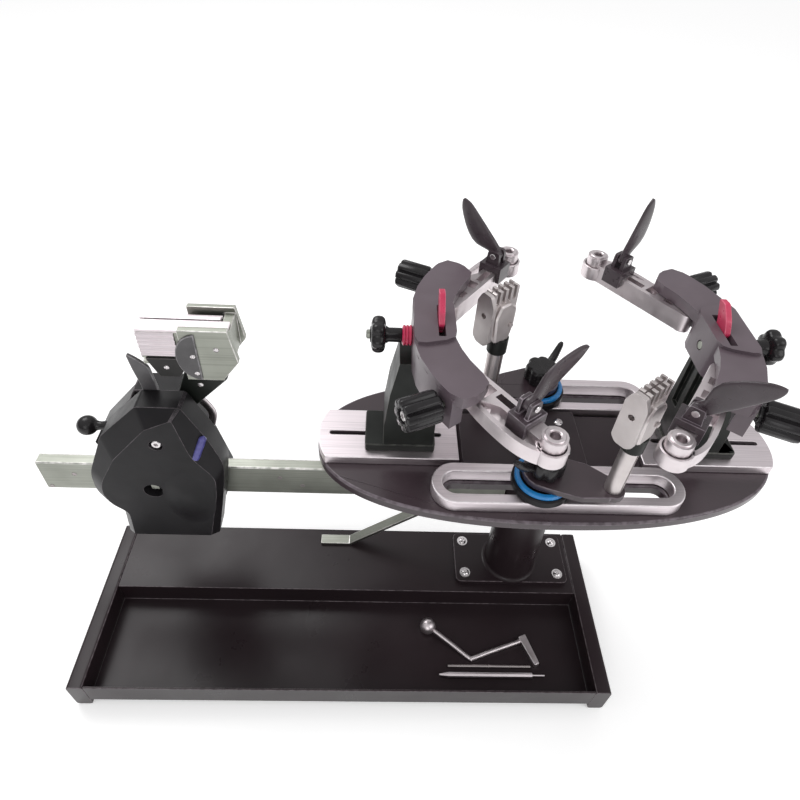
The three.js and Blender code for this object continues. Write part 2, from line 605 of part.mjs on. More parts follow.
function buildTable() {
  const plateShape = polygon(tableOutline(0));
  for (const side of [-1, 1]) {
    const length = glideSlot - GLIDE.slot + TABLE.slotWidth;
    plateShape.holes.push(obround(length, TABLE.slotWidth, 0, side * GLIDE.centre));
  }
  add(table, 'turntable_plate',
    prism(plateShape, -TABLE.top - TABLE.thickness, -TABLE.top, TABLE.edge, CURVE.wide), FINISH.paint);

  const onPlate = FIT.seat - TABLE.top;
  const cover = prism(rectangle(COVER.halfLength * 2, COVER.halfWidth * 2, COVER.bevel * 2),
    onPlate, -COVER.top, COVER.bevel);
  const hub = prism(rectangle(COVER.hubHalf * 2, COVER.halfWidth * 2, COVER.bevel),
    -COVER.top - COVER.bevel, COVER.hubRise - COVER.top, FIT.seat);
  add(table, 'centre_cover', join(cover, hub), FINISH.dark);

  for (const [name, turn] of [['slide_band_right', 0], ['slide_band_left', Math.PI]]) {
    const points = [[BAND.inner, -BAND.halfWidth]];
    const steps = CURVE.sector;
    for (let i = 0; i <= steps; i += 1) {
      const v = BAND.halfWidth * ((2 * i) / steps - 1);
      points.push([tableEdge(BAND.inset, v), v]);
    }
    points.push([BAND.inner, BAND.halfWidth]);
    const middle = (BAND.slotInner + BAND.slotOuter) / 2;
    const length = BAND.slotOuter - BAND.slotInner;
    const bandPlate = prism(polygon(points), onPlate, 0, FIT.seat * 2);
    const slot = prism(obround(length, BAND.slotWidth, middle), -TABLE.top, FIT.overrun);
    const cavity = prism(obround(length + BAND.slotWidth, BAND.cavityWidth, middle),
      -TABLE.top - FIT.overrun, -BAND.lip);
    add(table, name, cut(bandPlate, slot, cavity).rotateZ(turn), FINISH.aluminium);
  }

  for (const [name, side] of [['glide_bar_front', -1], ['glide_bar_back', 1]]) {
    const shape = obround(GLIDE.length, GLIDE.width, 0, side * GLIDE.centre);
    shape.holes.push(obround(glideSlot, GLIDE.slot, 0, side * GLIDE.centre));
    add(table, name, prism(shape, onPlate, GLIDE.top, GLIDE.bevel, CURVE.wide), FINISH.aluminium);
  }

  const under = -TABLE.top - TABLE.thickness - FIT.seat;
  const flange = disc(SPINDLE.flangeRadius, under - SPINDLE.flangeThickness, under, ROUND.column);
  const shaftEnd = under - SPINDLE.flangeThickness - SPINDLE.shaftLength;
  const shaft = disc(SPINDLE.shaftRadius, shaftEnd, under, ROUND.ring);
  add(table, 'turntable_spindle', join(flange, shaft), FINISH.steel);
}

// Towers, drawn for the right-hand one and turned half round for the left

// A ring's sector about +X, with a flat across the middle of its outer edge
function sector(inner, outer, span, corner, flat = 0, steps = CURVE.sector) {
  const points = [];
  for (let i = 0; i <= steps; i += 1) {
    const angle = span * DEGREE * ((2 * i) / steps - 1);
    points.push([Math.min(outer * Math.cos(angle), outer - flat), outer * Math.sin(angle)]);
  }
  for (let i = steps; i >= 0; i -= 1) {
    const angle = span * DEGREE * ((2 * i) / steps - 1);
    points.push([inner * Math.cos(angle), inner * Math.sin(angle)]);
  }
  const widest = Math.min((outer - inner) / 2, (inner * span * DEGREE * 2) / steps);
  return corner > 0 ? roundEnds(points, steps, Math.min(corner, widest * CURVE.fullest)) : polygon(points);
}

// Rounds the four corners of a sector's two ends
function roundEnds(points, steps, corner) {
  const ends = new Set([0, steps, steps + 1, 2 * steps + 1]);
  const shape = new THREE.Shape();
  const at = (i) => new THREE.Vector2(...points[(i + points.length) % points.length]);
  points.forEach((unused, i) => {
    const here = at(i);
    const start = here.clone().add(at(i - 1).sub(here).setLength(ends.has(i) ? corner : 0));
    const end = here.clone().add(at(i + 1).sub(here).setLength(ends.has(i) ? corner : 0));
    if (i === 0) shape.moveTo(start.x, start.y);
    else shape.lineTo(start.x, start.y);
    if (ends.has(i)) shape.quadraticCurveTo(here.x, here.y, end.x, end.y);
  });
  shape.closePath();
  return shape;
}

const knobPoint = [
  (YOKE.outer + KNOB.standOff) * Math.cos(KNOB.around * DEGREE),
  (YOKE.outer + KNOB.standOff) * Math.sin(KNOB.around * DEGREE),
];
const knobWay = [Math.cos(KNOB.axisTurn * DEGREE), Math.sin(KNOB.axisTurn * DEGREE)];

// A lock fin's outline above its boss, as shares of its length and height
const finShares = [[0.4, 0.45], [0.72, 0.95], [0.35, 1], [-0.1, 0.66], [-0.34, 0.3]];

function buildTower(label, turn) {
  const tower = new THREE.Group();
  tower.rotation.z = turn;
  table.add(tower);
  const back = label === 'right' ? 1 : -1;
  const ends = { back, front: -back };

  const sled = prism(rectangle(SLED.outer - SLED.inner, SLED.halfWidth * 2, SLED.corner), FIT.seat, SLED.top,
    FIT.seat * 2).translate((SLED.inner + SLED.outer) / 2, 0, 0);
  const keel = block(SLED.keelInner, SLED.keelOuter, -SLED.keelHalf, SLED.keelHalf, -SLED.footBottom,
    SLED.top / 2);
  const foot = block(SLED.keelInner, SLED.keelOuter, -SLED.footHalf, SLED.footHalf, -SLED.footBottom,
    -SLED.footTop);
  const side = prismXZ(polygon([
    [POST.inner, SLED.top / 2], [POST.outerFoot, SLED.top / 2], [POST.outerFoot, POST.blockTop],
    [POST.bulge, (POST.blockTop + POST.top) / 2], [POST.outerTop, POST.top], [POST.inner, POST.top],
  ]), -SLED.halfWidth, SLED.halfWidth);
  const front = prismYZ(polygon([
    [-POST.halfFoot, 0], [POST.halfFoot, 0], [POST.halfFoot, POST.blockTop],
    [POST.halfTop, POST.top], [-POST.halfTop, POST.top], [-POST.halfFoot, POST.blockTop],
  ]), SLED.inner, SLED.outer);
  const pockets = [-1, 1].map((way) => {
    const edge = way * POST.pocketGap / 2;
    const far = way * (POST.pocketGap / 2 + POST.pocketWidth);
    return block(POST.inner - FIT.overrun, POST.inner + POST.pocketDepth, Math.min(edge, far),
      Math.max(edge, far), POST.pocketLow, POST.pocketHigh);
  });
  const body = cut(join(sled, keel, foot, common(side, front)), ...pockets);
  add(tower, `tower_${label}`, body.translate(yokeInner, 0, 0), FINISH.paint);

  const pins = [-1, 1].map((way) => disc(ARM.pin, ARM.pinEnd, YOKE.top - YOKE.skin / 2, ROUND.pin,
    armPivot, way * ARM.pivotY));
  const roof = prism(sector(yokeInner, YOKE.outer, YOKE.span, YOKE.corner, YOKE.flat),
    YOKE.top - YOKE.skin, YOKE.top);
  const wall = prism(sector(YOKE.outer - YOKE.wall, YOKE.outer, YOKE.span - YOKE.endTaper, 0, YOKE.flat),
    YOKE.bottom, YOKE.top - YOKE.skin / 2);
  const hub = prism(sector(yokeInner, YOKE.outer, YOKE.hubSpan, YOKE.hubCorner, YOKE.flat, 1),
    YOKE.bottom, YOKE.top + YOKE.hubRise);
  const finStart = yokeInner + FIN.inset;
  const finEnd = finStart + FIN.thickness;
  const slotEnds = [-back * YOKE.slotFront, back * YOKE.slotBack];
  const finSlot = block(finStart - FIT.running, finEnd + FIT.running, Math.min(...slotEnds),
    Math.max(...slotEnds), YOKE.top - YOKE.slotDepth + FIT.overrun, YOKE.top + YOKE.hubRise + FIT.overrun);
  const screwBore = bar([yokeInner / 2, 0, YOKE.axis], [YOKE.outer + FIT.overrun, 0, YOKE.axis],
    YOKE.bore, ROUND.boss);
  const finPin = bar([finStart - FIT.overrun, -back * FIN.pivotV, FIN.pivotZ],
    [finEnd + FIT.overrun, -back * FIN.pivotV, FIN.pivotZ], FIN.pin, ROUND.pin);
  const knobBores = [-1, 1].map((way) => {
    const [x, y] = knobPoint;
    const depth = YOKE.wall * 2;
    return bar([x - depth * knobWay[0], way * (y - depth * knobWay[1]), YOKE.axis],
      [x + YOKE.wall * knobWay[0], way * (y + YOKE.wall * knobWay[1]), YOKE.axis], KNOB.bore, ROUND.pin);
  });
  add(tower, `yoke_${label}`,
    join(cut(join(roof, wall, hub, ...pins), finSlot, screwBore, ...knobBores), finPin), FINISH.yoke);

  const finShape = rounded([
    [-FIN.boss, 0], [FIN.boss, 0], ...spread(finShares, FIN.length, FIN.height),
  ], FIN.pin);
  const finBoss = bar([0, 0, 0], [FIN.thickness, 0, 0], FIN.boss, ROUND.boss);
  const fin = cut(join(prismYZ(finShape, 0, FIN.thickness), finBoss),
    bar([-FIT.overrun, 0, 0], [FIN.thickness + FIT.overrun, 0, 0], FIN.pin + FIT.running, ROUND.pin));
  fin.translate(-FIN.thickness / 2, 0, 0);
  if (back < 0) fin.rotateZ(Math.PI);
  fin.translate((finStart + finEnd) / 2, -back * FIN.pivotV, FIN.pivotZ);
  add(tower, `lock_fin_${label}`, fin, FINISH.red);

  buildSupportScrew(tower, label);
  for (const [end, way] of Object.entries(ends)) {
    buildArmKnob(tower, `arm_knob_${end}_${label}`, way);
    buildSideArm(tower, `${end}_${label}`, way);
  }
}

function buildSupportScrew(tower, label) {
  const s = SCREW;
  const along = (from, to, radius, sides) => bar([from, 0, YOKE.axis], [to, 0, YOKE.axis], radius, sides);
  const collarStart = yokeFace + FIT.seat;
  const collarEnd = collarStart + s.collar;
  const hubEnd = collarEnd + s.hub;
  const starEnd = hubEnd + s.star;
  const turns = [1, 2].map((i) => {
    const at = collarStart + (s.collar * i) / 3;
    return cut(along(at, at + s.groove, s.collarRadius + FIT.overrun, ROUND.disc),
      along(at - FIT.overrun, at + s.groove + FIT.overrun, s.collarRadius - s.groove, ROUND.disc));
  });
  const collar = cut(along(collarStart, collarEnd, s.collarRadius, ROUND.disc), ...turns);
  const star = prismYZ(lobed(s.starRadius, s.starLobe, s.lobes), hubEnd, starEnd, FIT.overrun)
    .translate(0, 0, YOKE.axis);
  const rod = along(yokeInner - s.inside, starEnd + s.tip, s.radius, ROUND.rod);
  const neck = along(collarEnd - FIT.seat, hubEnd + FIT.overrun, s.hubRadius, ROUND.boss);
  add(tower, `support_screw_${label}`, join(rod, collar, neck, star), FINISH.plastic);
}

function buildArmKnob(tower, name, way) {
  const k = KNOB;
  const grip = prismYZ(lobed(k.radius, k.lobe, k.lobes), k.collarLength, k.collarLength + k.length, k.bevel);
  const collar = bar([FIT.seat, 0, 0], [k.collarLength + k.bevel, 0, 0], k.collar, ROUND.boss);
  const end = k.collarLength + k.length;
  const recess = bar([end - k.recessDepth, 0, 0], [end + FIT.overrun, 0, 0], k.recess, ROUND.boss);
  const screw = bar([-YOKE.wall - k.collarLength * 2, 0, 0], [k.length / 2, 0, 0], k.screw, ROUND.pin);
  const knob = join(cut(join(grip, collar), recess), screw);
  const [x, y] = knobPoint;
  add(tower, name, knob.rotateZ(way * k.axisTurn * DEGREE).translate(x, way * y, YOKE.axis), FINISH.plastic);
}

// A finger's outline: the bend and the end of each curve, as shares of its width and length
const leafShares = [
  [[-0.275, 0.17], [-0.18, 0.26]], [[-0.05, 0.6], [0.28, 1]],
  [[0.8, 0.72], [0.72, 0.36]], [[0.66, 0.21], [0.23, 0.14]],
];

function buildSideArm(tower, suffix, way) {
  const arm = new THREE.Group();
  arm.position.set(armPivot, way * ARM.pivotY, 0);
  arm.rotation.z = way * ARM.turn * DEGREE;
  tower.add(arm);
  const out = -way;
  const a = ARM;
  const edge = rounded([
    [-a.boss / 2, out * -a.halfWidth], [a.length, out * -a.halfWidth], [a.length, out * a.halfWidth],
    [a.neck, out * a.halfWidth], [a.bulgeEnd, out * a.bulge], [a.bulgeStart, out * a.bulge],
    [-a.boss / 2, out * a.halfWidth],
  ], a.rib / 2);
  const beam = prism(edge, a.low, a.high);
  const boss = disc(a.boss, a.low, a.high, ROUND.boss);
  const tip = disc(a.tipRadius, a.low, a.high + a.tipRise, ROUND.disc, a.length);
  const [inner, outer] = [a.rib - a.halfWidth, a.halfWidth - a.rib];
  const long = (from, to, high) => prism(polygon([
    [from, out * inner], [to, out * inner], [to, out * high], [from, out * high]]),
  a.low - FIT.overrun, a.high + FIT.overrun);
  const bulgeInside = a.bulge - a.rib;
  const firstEnd = (a.bulgeStart + a.bulgeEnd) / 2 - a.rib / 2;
  const windows = [
    long(a.bulgeStart, firstEnd - a.pocket / 2, bulgeInside - a.pocketDepth),
    long(firstEnd + a.pocket, a.bulgeEnd, bulgeInside),
    long(a.bulgeEnd + a.rib, a.neck + a.rib * 2, outer),
    long(a.neck + a.rib * 3, a.length - a.tipRadius * 2, outer),
  ];
  const holes = [
    disc(a.pinHole, a.low - FIT.overrun, a.high + FIT.overrun, ROUND.rod),
    disc(a.tipHole, a.low - FIT.overrun, a.high + a.tipRise + FIT.overrun, ROUND.rod, a.length),
  ];
  const turned = new THREE.Vector2(knobPoint[0] - armPivot, knobPoint[1] - a.pivotY)
    .rotateAround(new THREE.Vector2(), -a.turn * DEGREE);
  const aim = new THREE.Vector2(...knobWay).rotateAround(new THREE.Vector2(), -a.turn * DEGREE);
  const reach = YOKE.wall * 2 + a.pocketDepth / 2;
  const socket = bar([turned.x, way * turned.y, YOKE.axis],
    [turned.x - reach * aim.x, way * (turned.y - reach * aim.y), YOKE.axis], a.pocket, ROUND.rod);
  add(arm, `side_arm_${suffix}`, cut(join(beam, boss, tip), ...windows, ...holes, socket), FINISH.aluminium);

  const s = SHOE;
  const across = a.halfWidth + FIT.running;
  const under = a.high + FIT.running;
  const saddleTop = under + s.top;
  const saddle = block(-s.length / 2, s.length / 2, -across - s.cheek, across + s.cheek,
    a.high - s.drop, saddleTop);
  const channel = block(-s.length, s.length, -across, across, a.low, under);
  const ears = [-1, 1].map((at) => {
    const near = FINGER.thickness / 2 + FIT.running;
    const [from, to] = at < 0 ? [-near - s.ear, -near] : [near, near + s.ear];
    return prismYZ(rounded([
      [-s.earHalf, saddleTop - FIT.overrun], [s.earHalf, saddleTop - FIT.overrun],
      [s.earTop, saddleTop + s.earHeight], [-s.earTop, saddleTop + s.earHeight],
    ], FIT.overrun), from, to);
  });
  const pivotZ = saddleTop + FINGER.pivotRise;
  const pin = bar([-s.length / 3, 0, pivotZ], [s.length / 3, 0, pivotZ], FINGER.pin, ROUND.pin);
  const shoe = join(cut(saddle, channel), ...ears, pin);
  add(arm, `claw_shoe_${suffix}`, shoe.translate(s.along, 0, 0), FINISH.dark);

  const f = FINGER;
  const leaf = new THREE.Shape();
  leaf.moveTo(-f.knuckle, 0);
  for (const share of leafShares) {
    const [bend, point] = spread(share, f.width, f.length);
    leaf.quadraticCurveTo(...bend, ...point);
  }
  leaf.lineTo(f.knuckle, 0);
  leaf.closePath();
  const blade = prismYZ(leaf, -f.thickness / 2, f.thickness / 2, FIT.seat * 2, CURVE.wide);
  const knuckle = bar([-f.thickness / 2, 0, 0], [f.thickness / 2, 0, 0], f.knuckle, ROUND.boss);
  const eye = bar([-f.thickness, 0, 0], [f.thickness, 0, 0], f.pinHole, ROUND.pin);
  const lean = FINGER_LEAN[suffix];
  const finger = cut(join(blade, knuckle), eye);
  if (out * FINGER_BELLY[suffix] < 0) finger.rotateZ(Math.PI);
  finger.rotateX(-out * lean * DEGREE);
  add(arm, `claw_finger_${suffix}`, finger.translate(s.along, 0, pivotZ), FINISH.dark);
}

// String clamps

function buildClamp(end) {
  const place = CLAMPS[end];
  const clamp = new THREE.Group();
  clamp.position.set(place.at, place.side * GLIDE.centre, 0);
  table.add(clamp);
  const c = CLAMP;
  const under = -TABLE.top - TABLE.thickness - FIT.seat;
  const base = join(
    disc(c.disc, GLIDE.top + FIT.seat, c.discTop, ROUND.ring),
    cut(disc(c.ringOuter, c.discTop - FIT.seat, c.ringTop, ROUND.ring),
      disc(c.ringInner, c.discTop - FIT.overrun, c.ringTop + FIT.overrun, ROUND.ring)),
    disc(c.boss, c.discTop - FIT.seat, c.bossTop, ROUND.boss),
    disc(c.stud, under - c.nutThickness, c.discTop, ROUND.rod),
    disc(c.nut, under - c.nutThickness, under, ROUND.hex),
  );
  add(clamp, `clamp_base_${end}`, base, FINISH.plastic);

  const arm = new THREE.Group();
  arm.rotation.z = place.armTurn * DEGREE;
  clamp.add(arm);
  const link = prism(rounded([
    [0, -c.hub], [c.waist, -c.hub], [c.reach, -c.post], [c.reach, c.post], [c.waist, c.hub], [0, c.hub],
  ], FIT.overrun), c.armLow, c.armHigh);
  const hub = disc(c.hub, c.armLow, c.armHigh, ROUND.ring);
  const socket = disc(c.post, c.armLow, c.armHigh, ROUND.disc, c.reach);
  const holes = [
    disc(c.boss + FIT.running, c.armLow - FIT.overrun, c.armHigh + FIT.overrun, ROUND.boss),
    disc(JAW.spigot + FIT.running, c.armLow - FIT.overrun, c.armHigh + FIT.overrun, ROUND.rod, c.reach),
  ];
  add(arm, `swivel_arm_${end}`, cut(join(link, hub, socket), ...holes), FINISH.plastic);

  const l = LEVER;
  const grip = prism(lobed(l.hub, l.lobe, l.lobes), l.low, l.high, l.bevel);
  const mid = (l.low + l.high) / 2;
  const bend = [l.reach * l.bendShare, 0, mid + l.lift * l.bendLiftShare];
  const taper = l.handle * l.taperShare;
  const handle = join(
    bar([l.hub / 2, 0, mid], bend, l.handle, ROUND.pin, taper),
    ball(l.handle).translate(...bend),
    bar(bend, [l.reach, 0, mid + l.lift], taper, ROUND.pin, l.handle * l.tipShare),
  );
  add(clamp, `lock_lever_${end}`, join(grip, handle).rotateZ(place.leverTurn * DEGREE), FINISH.plastic);

  buildClampHead(arm, end, place);
}

// The comb slots that leave the teeth along a jaw's top
function toothSlots() {
  const j = JAW;
  const pitch = (j.width - j.tooth) / j.teeth;
  const slots = [];
  for (let i = 0; i < j.teeth; i += 1) {
    const from = j.offset - j.width + j.tooth + pitch * i;
    slots.push(block(from, from + pitch - j.tooth, -j.width, j.width,
      j.top - j.toothDepth, j.top + FIT.overrun));
  }
  return slots;
}

// A clamp jaw's thick cheek, as shares of its width and height
const cheekShares = [[-0.36, 0], [0.36, 0], [0.5, 0.36], [0.5, 0.82], [0.2, 1], [-0.3, 1], [-0.5, 0.7]];

function buildClampHead(arm, end, place) {
  const head = new THREE.Group();
  head.position.set(CLAMP.reach, 0, 0);
  head.rotation.z = (JAW.headTurn - place.armTurn) * DEGREE;
  arm.add(head);
  const j = JAW;
  const [left, right, inner] = [j.offset - j.width, j.offset, j.gap / 2];
  const outer = inner + j.thickness;
  const slots = toothSlots();
  const jawShape = rounded([
    [-j.neck / 2, j.low], [right, j.low], [right, j.top], [left, j.top], [left, j.low + j.neck / 2],
  ], FIT.overrun);
  const cheekMiddle = (left + right) / 2;
  const cheekShape = rounded(
    spread(cheekShares, j.cheekWidth, j.cheekTop - j.low, cheekMiddle, j.low), FIT.overrun);
  const pin = (radius, from, to) => bar([0, from, j.pinZ], [0, to, j.pinZ], radius, ROUND.pin);

  const rodTop = j.low + j.neck / 2;
  const rod = join(
    disc(j.spigot, CLAMP.armLow + FIT.seat, CLAMP.armHigh + FIT.overrun, ROUND.boss),
    disc(j.rod, CLAMP.armHigh + FIT.seat, rodTop, ROUND.disc),
  );
  const grooves = [0, Math.PI].map((round) => block(-j.groove / 2, j.groove / 2, j.rod - j.grooveDepth,
    j.rod + FIT.overrun, CLAMP.armHigh + j.groove * 2, j.low - j.groove).rotateZ(round));
  const fixed = join(prismXZ(jawShape, inner, outer),
    prismXZ(cheekShape, outer - j.cheekBevel - FIT.seat, outer + j.cheekThickness, j.cheekBevel));
  const relief = block(-j.width, j.width, -j.width, inner, j.low - FIT.running, j.top + FIT.overrun);
  const endLeft = left - FIT.running - j.endPlate;
  const endShape = rounded([
    [-j.endHalf / 2, j.low], [j.endHalf / 2, j.low], [j.endHalf, j.low + j.endHalf / 2],
    [j.endHalf, j.endTop - j.endHalf], [j.endHalf / 2, j.endTop],
    [-j.endHalf / 2, j.endTop], [-j.endHalf, j.endTop - j.endHalf], [-j.endHalf, j.low + j.endHalf / 2],
  ], FIT.overrun);
  const endHole = bar([endLeft - FIT.overrun, 0, j.pinZ + j.endHalf * 1.5],
    [left + FIT.overrun, 0, j.pinZ + j.endHalf * 1.5], j.endHole, ROUND.pin);
  const endPlate = cut(prismYZ(endShape, endLeft, endLeft + j.endPlate), endHole);
  const bridge = block(endLeft + j.endPlate / 2, left + j.tooth, inner, outer, j.low + j.neck / 2,
    j.top - j.toothDepth * 2);
  const body = cut(join(cut(rod, relief, ...grooves), fixed), ...slots);
  add(head, `clamp_body_${end}`, join(body, endPlate, bridge,
    pin(j.pin, -outer - j.cheekThickness - FIT.overrun, inner + FIT.overrun)), FINISH.aluminium);

  const moving = join(prismXZ(jawShape, -outer, -inner),
    prismXZ(cheekShape, -outer - j.cheekThickness, -outer + j.cheekBevel + FIT.seat, j.cheekBevel));
  add(head, `clamp_jaw_${end}`, cut(moving, ...slots, pin(j.pin + FIT.running, -j.width, j.width)),
    FINISH.aluminium);
}

// Tools that lie in the tray

function buildTools() {
  const floor = BASE.trayBottom + BASE.sheet + FIT.seat;
  const t = CRANK_TOOL;
  const ballAt = [t.ballX, t.ballY, floor + t.ball];
  const elbow = [t.elbowX, t.elbowY, floor + t.rod];
  const knee = [t.kneeX, t.kneeY, floor + t.endThickness / 2];
  const way = Math.atan2(t.endY - t.kneeY, t.endX - t.kneeX);
  const endLength = Math.hypot(t.endX - t.kneeX, t.endY - t.kneeY);
  const socketEnd = prism(rounded([
    [-t.endWidth / 2, -t.endWidth / 2], [endLength, -t.endWidth / 3], [endLength, t.endWidth / 3],
    [-t.endWidth / 2, t.endWidth / 2],
  ], t.rod / 2), 0, t.endThickness).rotateZ(way).translate(t.kneeX, t.kneeY, floor);
  add(machine, 'crank_handle', join(
    ball(t.ball).translate(...ballAt),
    bar(ballAt, elbow, t.rod, ROUND.pin),
    ball(t.rod).translate(...elbow),
    bar(elbow, knee, t.rod, ROUND.pin), socketEnd), FINISH.aluminium);

  const keyZ = floor + HEX_KEY.radius;
  add(machine, 'hex_key', bar([HEX_KEY.fromX, HEX_KEY.y, keyZ], [HEX_KEY.toX, HEX_KEY.y, keyZ],
    HEX_KEY.radius, ROUND.hex), FINISH.steel);

  const a = AWL;
  const z = floor + a.radius;
  add(machine, 'awl', join(
    bar([a.x, a.y, z], [a.x + a.taper, a.y, z], a.pointRadius, ROUND.pin, a.radius),
    bar([a.x + a.taper, a.y, z], [a.x + a.taper + a.body, a.y, z], a.radius, ROUND.pin),
    bar([a.x + a.taper + a.body, a.y, z], [a.x + a.taper + a.body + a.point, a.y, z],
      a.pointRadius, ROUND.pin),
  ), FINISH.aluminium);
}

buildBase();
buildColumn();
buildRail();
buildHead();
buildTable();
buildTower('right', 0);
buildTower('left', Math.PI);
buildClamp('front');
buildClamp('back');
buildTools();
machine.add(table);

// The origin is the middle of the machine's outer box, on the surface that it stands on
const box = new THREE.Box3().setFromObject(machine, true);
machine.position.set(-(box.min.x + box.max.x) / 2, -(box.min.y + box.max.y) / 2, -box.min.z);

const model = new THREE.Group();
model.add(machine);

export default model;
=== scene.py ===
"""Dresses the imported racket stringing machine: smooth pieces, finishes, fasteners, light and camera.

Lengths are millimetres in the machine's own frame. ``ROW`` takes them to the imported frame, in metres.
"""

from __future__ import annotations

import json
import logging
import math
from dataclasses import dataclass, field
from enum import Enum
from functools import reduce
from operator import add
from typing import Callable, Sequence

import bmesh
import bpy
import numpy as np
from mathutils import Matrix, Vector

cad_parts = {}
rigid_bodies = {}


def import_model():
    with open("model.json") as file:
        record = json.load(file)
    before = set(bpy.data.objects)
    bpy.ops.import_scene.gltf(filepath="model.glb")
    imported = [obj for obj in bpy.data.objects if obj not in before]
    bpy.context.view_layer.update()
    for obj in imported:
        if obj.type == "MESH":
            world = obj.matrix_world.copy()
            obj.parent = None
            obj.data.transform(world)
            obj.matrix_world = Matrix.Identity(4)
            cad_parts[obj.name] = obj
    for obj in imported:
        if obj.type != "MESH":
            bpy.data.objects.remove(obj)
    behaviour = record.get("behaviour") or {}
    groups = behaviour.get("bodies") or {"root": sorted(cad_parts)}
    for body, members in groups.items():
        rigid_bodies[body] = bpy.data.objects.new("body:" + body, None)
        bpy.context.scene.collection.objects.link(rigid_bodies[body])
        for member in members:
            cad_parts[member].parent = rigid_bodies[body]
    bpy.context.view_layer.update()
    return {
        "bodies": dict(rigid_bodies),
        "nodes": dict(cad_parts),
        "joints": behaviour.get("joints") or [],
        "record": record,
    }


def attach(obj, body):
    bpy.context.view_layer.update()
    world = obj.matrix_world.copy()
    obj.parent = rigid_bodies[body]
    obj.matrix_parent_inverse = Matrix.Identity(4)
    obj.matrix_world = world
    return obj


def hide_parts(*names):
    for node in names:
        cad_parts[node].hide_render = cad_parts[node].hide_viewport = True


LOG = logging.getLogger("stringing_machine")

Array = np.ndarray
Point = tuple[float, float, float]
Tone = tuple[float, float, float]
Outline = tuple[tuple[float, float], ...]

MM = 0.001
ORIGIN = Vector((-51.795174, -44.032548, 0.0))
FULL_TURN = 2 * math.pi
HALF_TURN = math.pi
QUARTER = math.pi / 2


def turn(degrees: float, axis: str = "Z") -> Matrix:
    """Returns a rotation about an axis through the origin."""
    return Matrix.Rotation(math.radians(degrees), 4, axis)


def shift(x: float = 0.0, y: float = 0.0, z: float = 0.0) -> Matrix:
    """Returns a translation."""
    return Matrix.Translation((x, y, z))


ROW = Matrix.Scale(MM, 4) @ Matrix.Translation(ORIGIN)
COLUMN_AT = (190.0, 57.0)
TABLE_TOP = 268.0
TABLE = ROW @ shift(*COLUMN_AT, TABLE_TOP)
CRANK_AT = (-180.0, 0.0, 229.6)
HEAD = ROW @ shift(*CRANK_AT)
TO_X = turn(90, "Y")
TO_FRONT = turn(90, "X")
UPRIGHT = Matrix(((1, 0, 0, 0), (0, 0, 1, 0), (0, 1, 0, 0), (0, 0, 0, 1)))


class Side(Enum):
    """Which tower."""

    RIGHT = "right"
    LEFT = "left"


class End(Enum):
    """Which end of a tower, or which clamp."""

    FRONT = "front"
    BACK = "back"


# Forms


@dataclass(frozen=True)
class Form:
    """A polygon mesh, in millimetres.

    Attributes:
        points: one row for each corner.
        quads: corner numbers of the four-sided faces.
        caps: corner numbers of each closing face.
    """

    points: Array
    quads: Array
    caps: tuple[Array, ...] = ()

    def moved(self, matrix: Matrix) -> Form:
        """Returns the form after a transform: each point times its turn, plus its shift."""
        m = np.array(matrix)
        return Form(self.points @ m[:3, :3].T + m[:3, 3], self.quads, self.caps)

    def __add__(self, other: Form) -> Form:
        """Puts two forms together, the second one's corner numbers after the first one's.

        Args:
            other: the second form.

        Returns:
            Both forms as one.
        """
        start = len(self.points)
        caps = self.caps + tuple(cap + start for cap in other.caps)
        quads = np.vstack([self.quads, other.quads + start])
        return Form(np.vstack([self.points, other.points]), quads, caps)

    def faces(self) -> list[list[int]]:
        """Returns all faces as lists."""
        return self.quads.tolist() + [cap.tolist() for cap in self.caps]


def together(forms: Sequence[Form]) -> Form:
    """Returns several forms as one."""
    return reduce(add, forms)


def copies(form: Form, places: Sequence[Matrix]) -> Form:
    """Returns a form repeated at several places."""
    return together([form.moved(place) for place in places])


def loft(rows: Array, capped: bool = True) -> Form:
    """Skins a grid of closed sections: neighbours along both of its parameters share a quad.

    Args:
        rows: array of sections x corners x 3.
        capped: whether the first and last section are closed by a face.

    Returns:
        The skin as one form.
    """
    count, around, _ = rows.shape
    index = np.arange(count * around).reshape(count, around)
    after = np.roll(index, -1, axis=1)
    quads = np.stack([index[:-1], after[:-1], after[1:], index[1:]], axis=-1).reshape(-1, 4)
    return Form(rows.reshape(-1, 3), quads, (index[0][::-1], index[-1]) if capped else ())


def lifted(outline: Array, height: float) -> Array:
    """Returns a flat outline as points at one height."""
    return np.column_stack([np.asarray(outline, float), np.full(len(outline), height)])


def prism(outline: Array, low: float, high: float) -> Form:
    """Carries a flat outline straight up from one height to another.

    Args:
        outline: the corners, in order.
        low: lower height.
        high: upper height.

    Returns:
        The closed prism.
    """
    return loft(np.stack([lifted(outline, low), lifted(outline, high)]))


def plate(outline: Array, front: float, back: float) -> Form:
    """Carries an outline drawn in X and Z straight back, from front to back along Y.

    Args:
        outline: the corners, in order.
        front: where it starts.
        back: where it ends.

    Returns:
        The closed plate.
    """
    return prism(outline, front, back).moved(UPRIGHT)


def lathe(profile: Sequence[tuple[float, float]], steps: int = 48, ring: bool = False) -> Form:
    """Turns a profile about Z: a point is (r cos a, r sin a, z), with r and z along it and a round it.

    Args:
        profile: radius and height of each row.
        steps: sides of the round.
        ring: whether the profile closes on itself, which leaves a hole.

    Returns:
        The turned form.
    """
    line = np.asarray([*profile, profile[0]] if ring else profile, float)
    angle = np.linspace(0.0, FULL_TURN, steps, endpoint=False)
    radius, height = line[:, :1], line[:, 1:]
    rows = [radius * np.cos(angle), radius * np.sin(angle), height + 0 * angle]
    return loft(np.stack(rows, axis=-1), not ring)


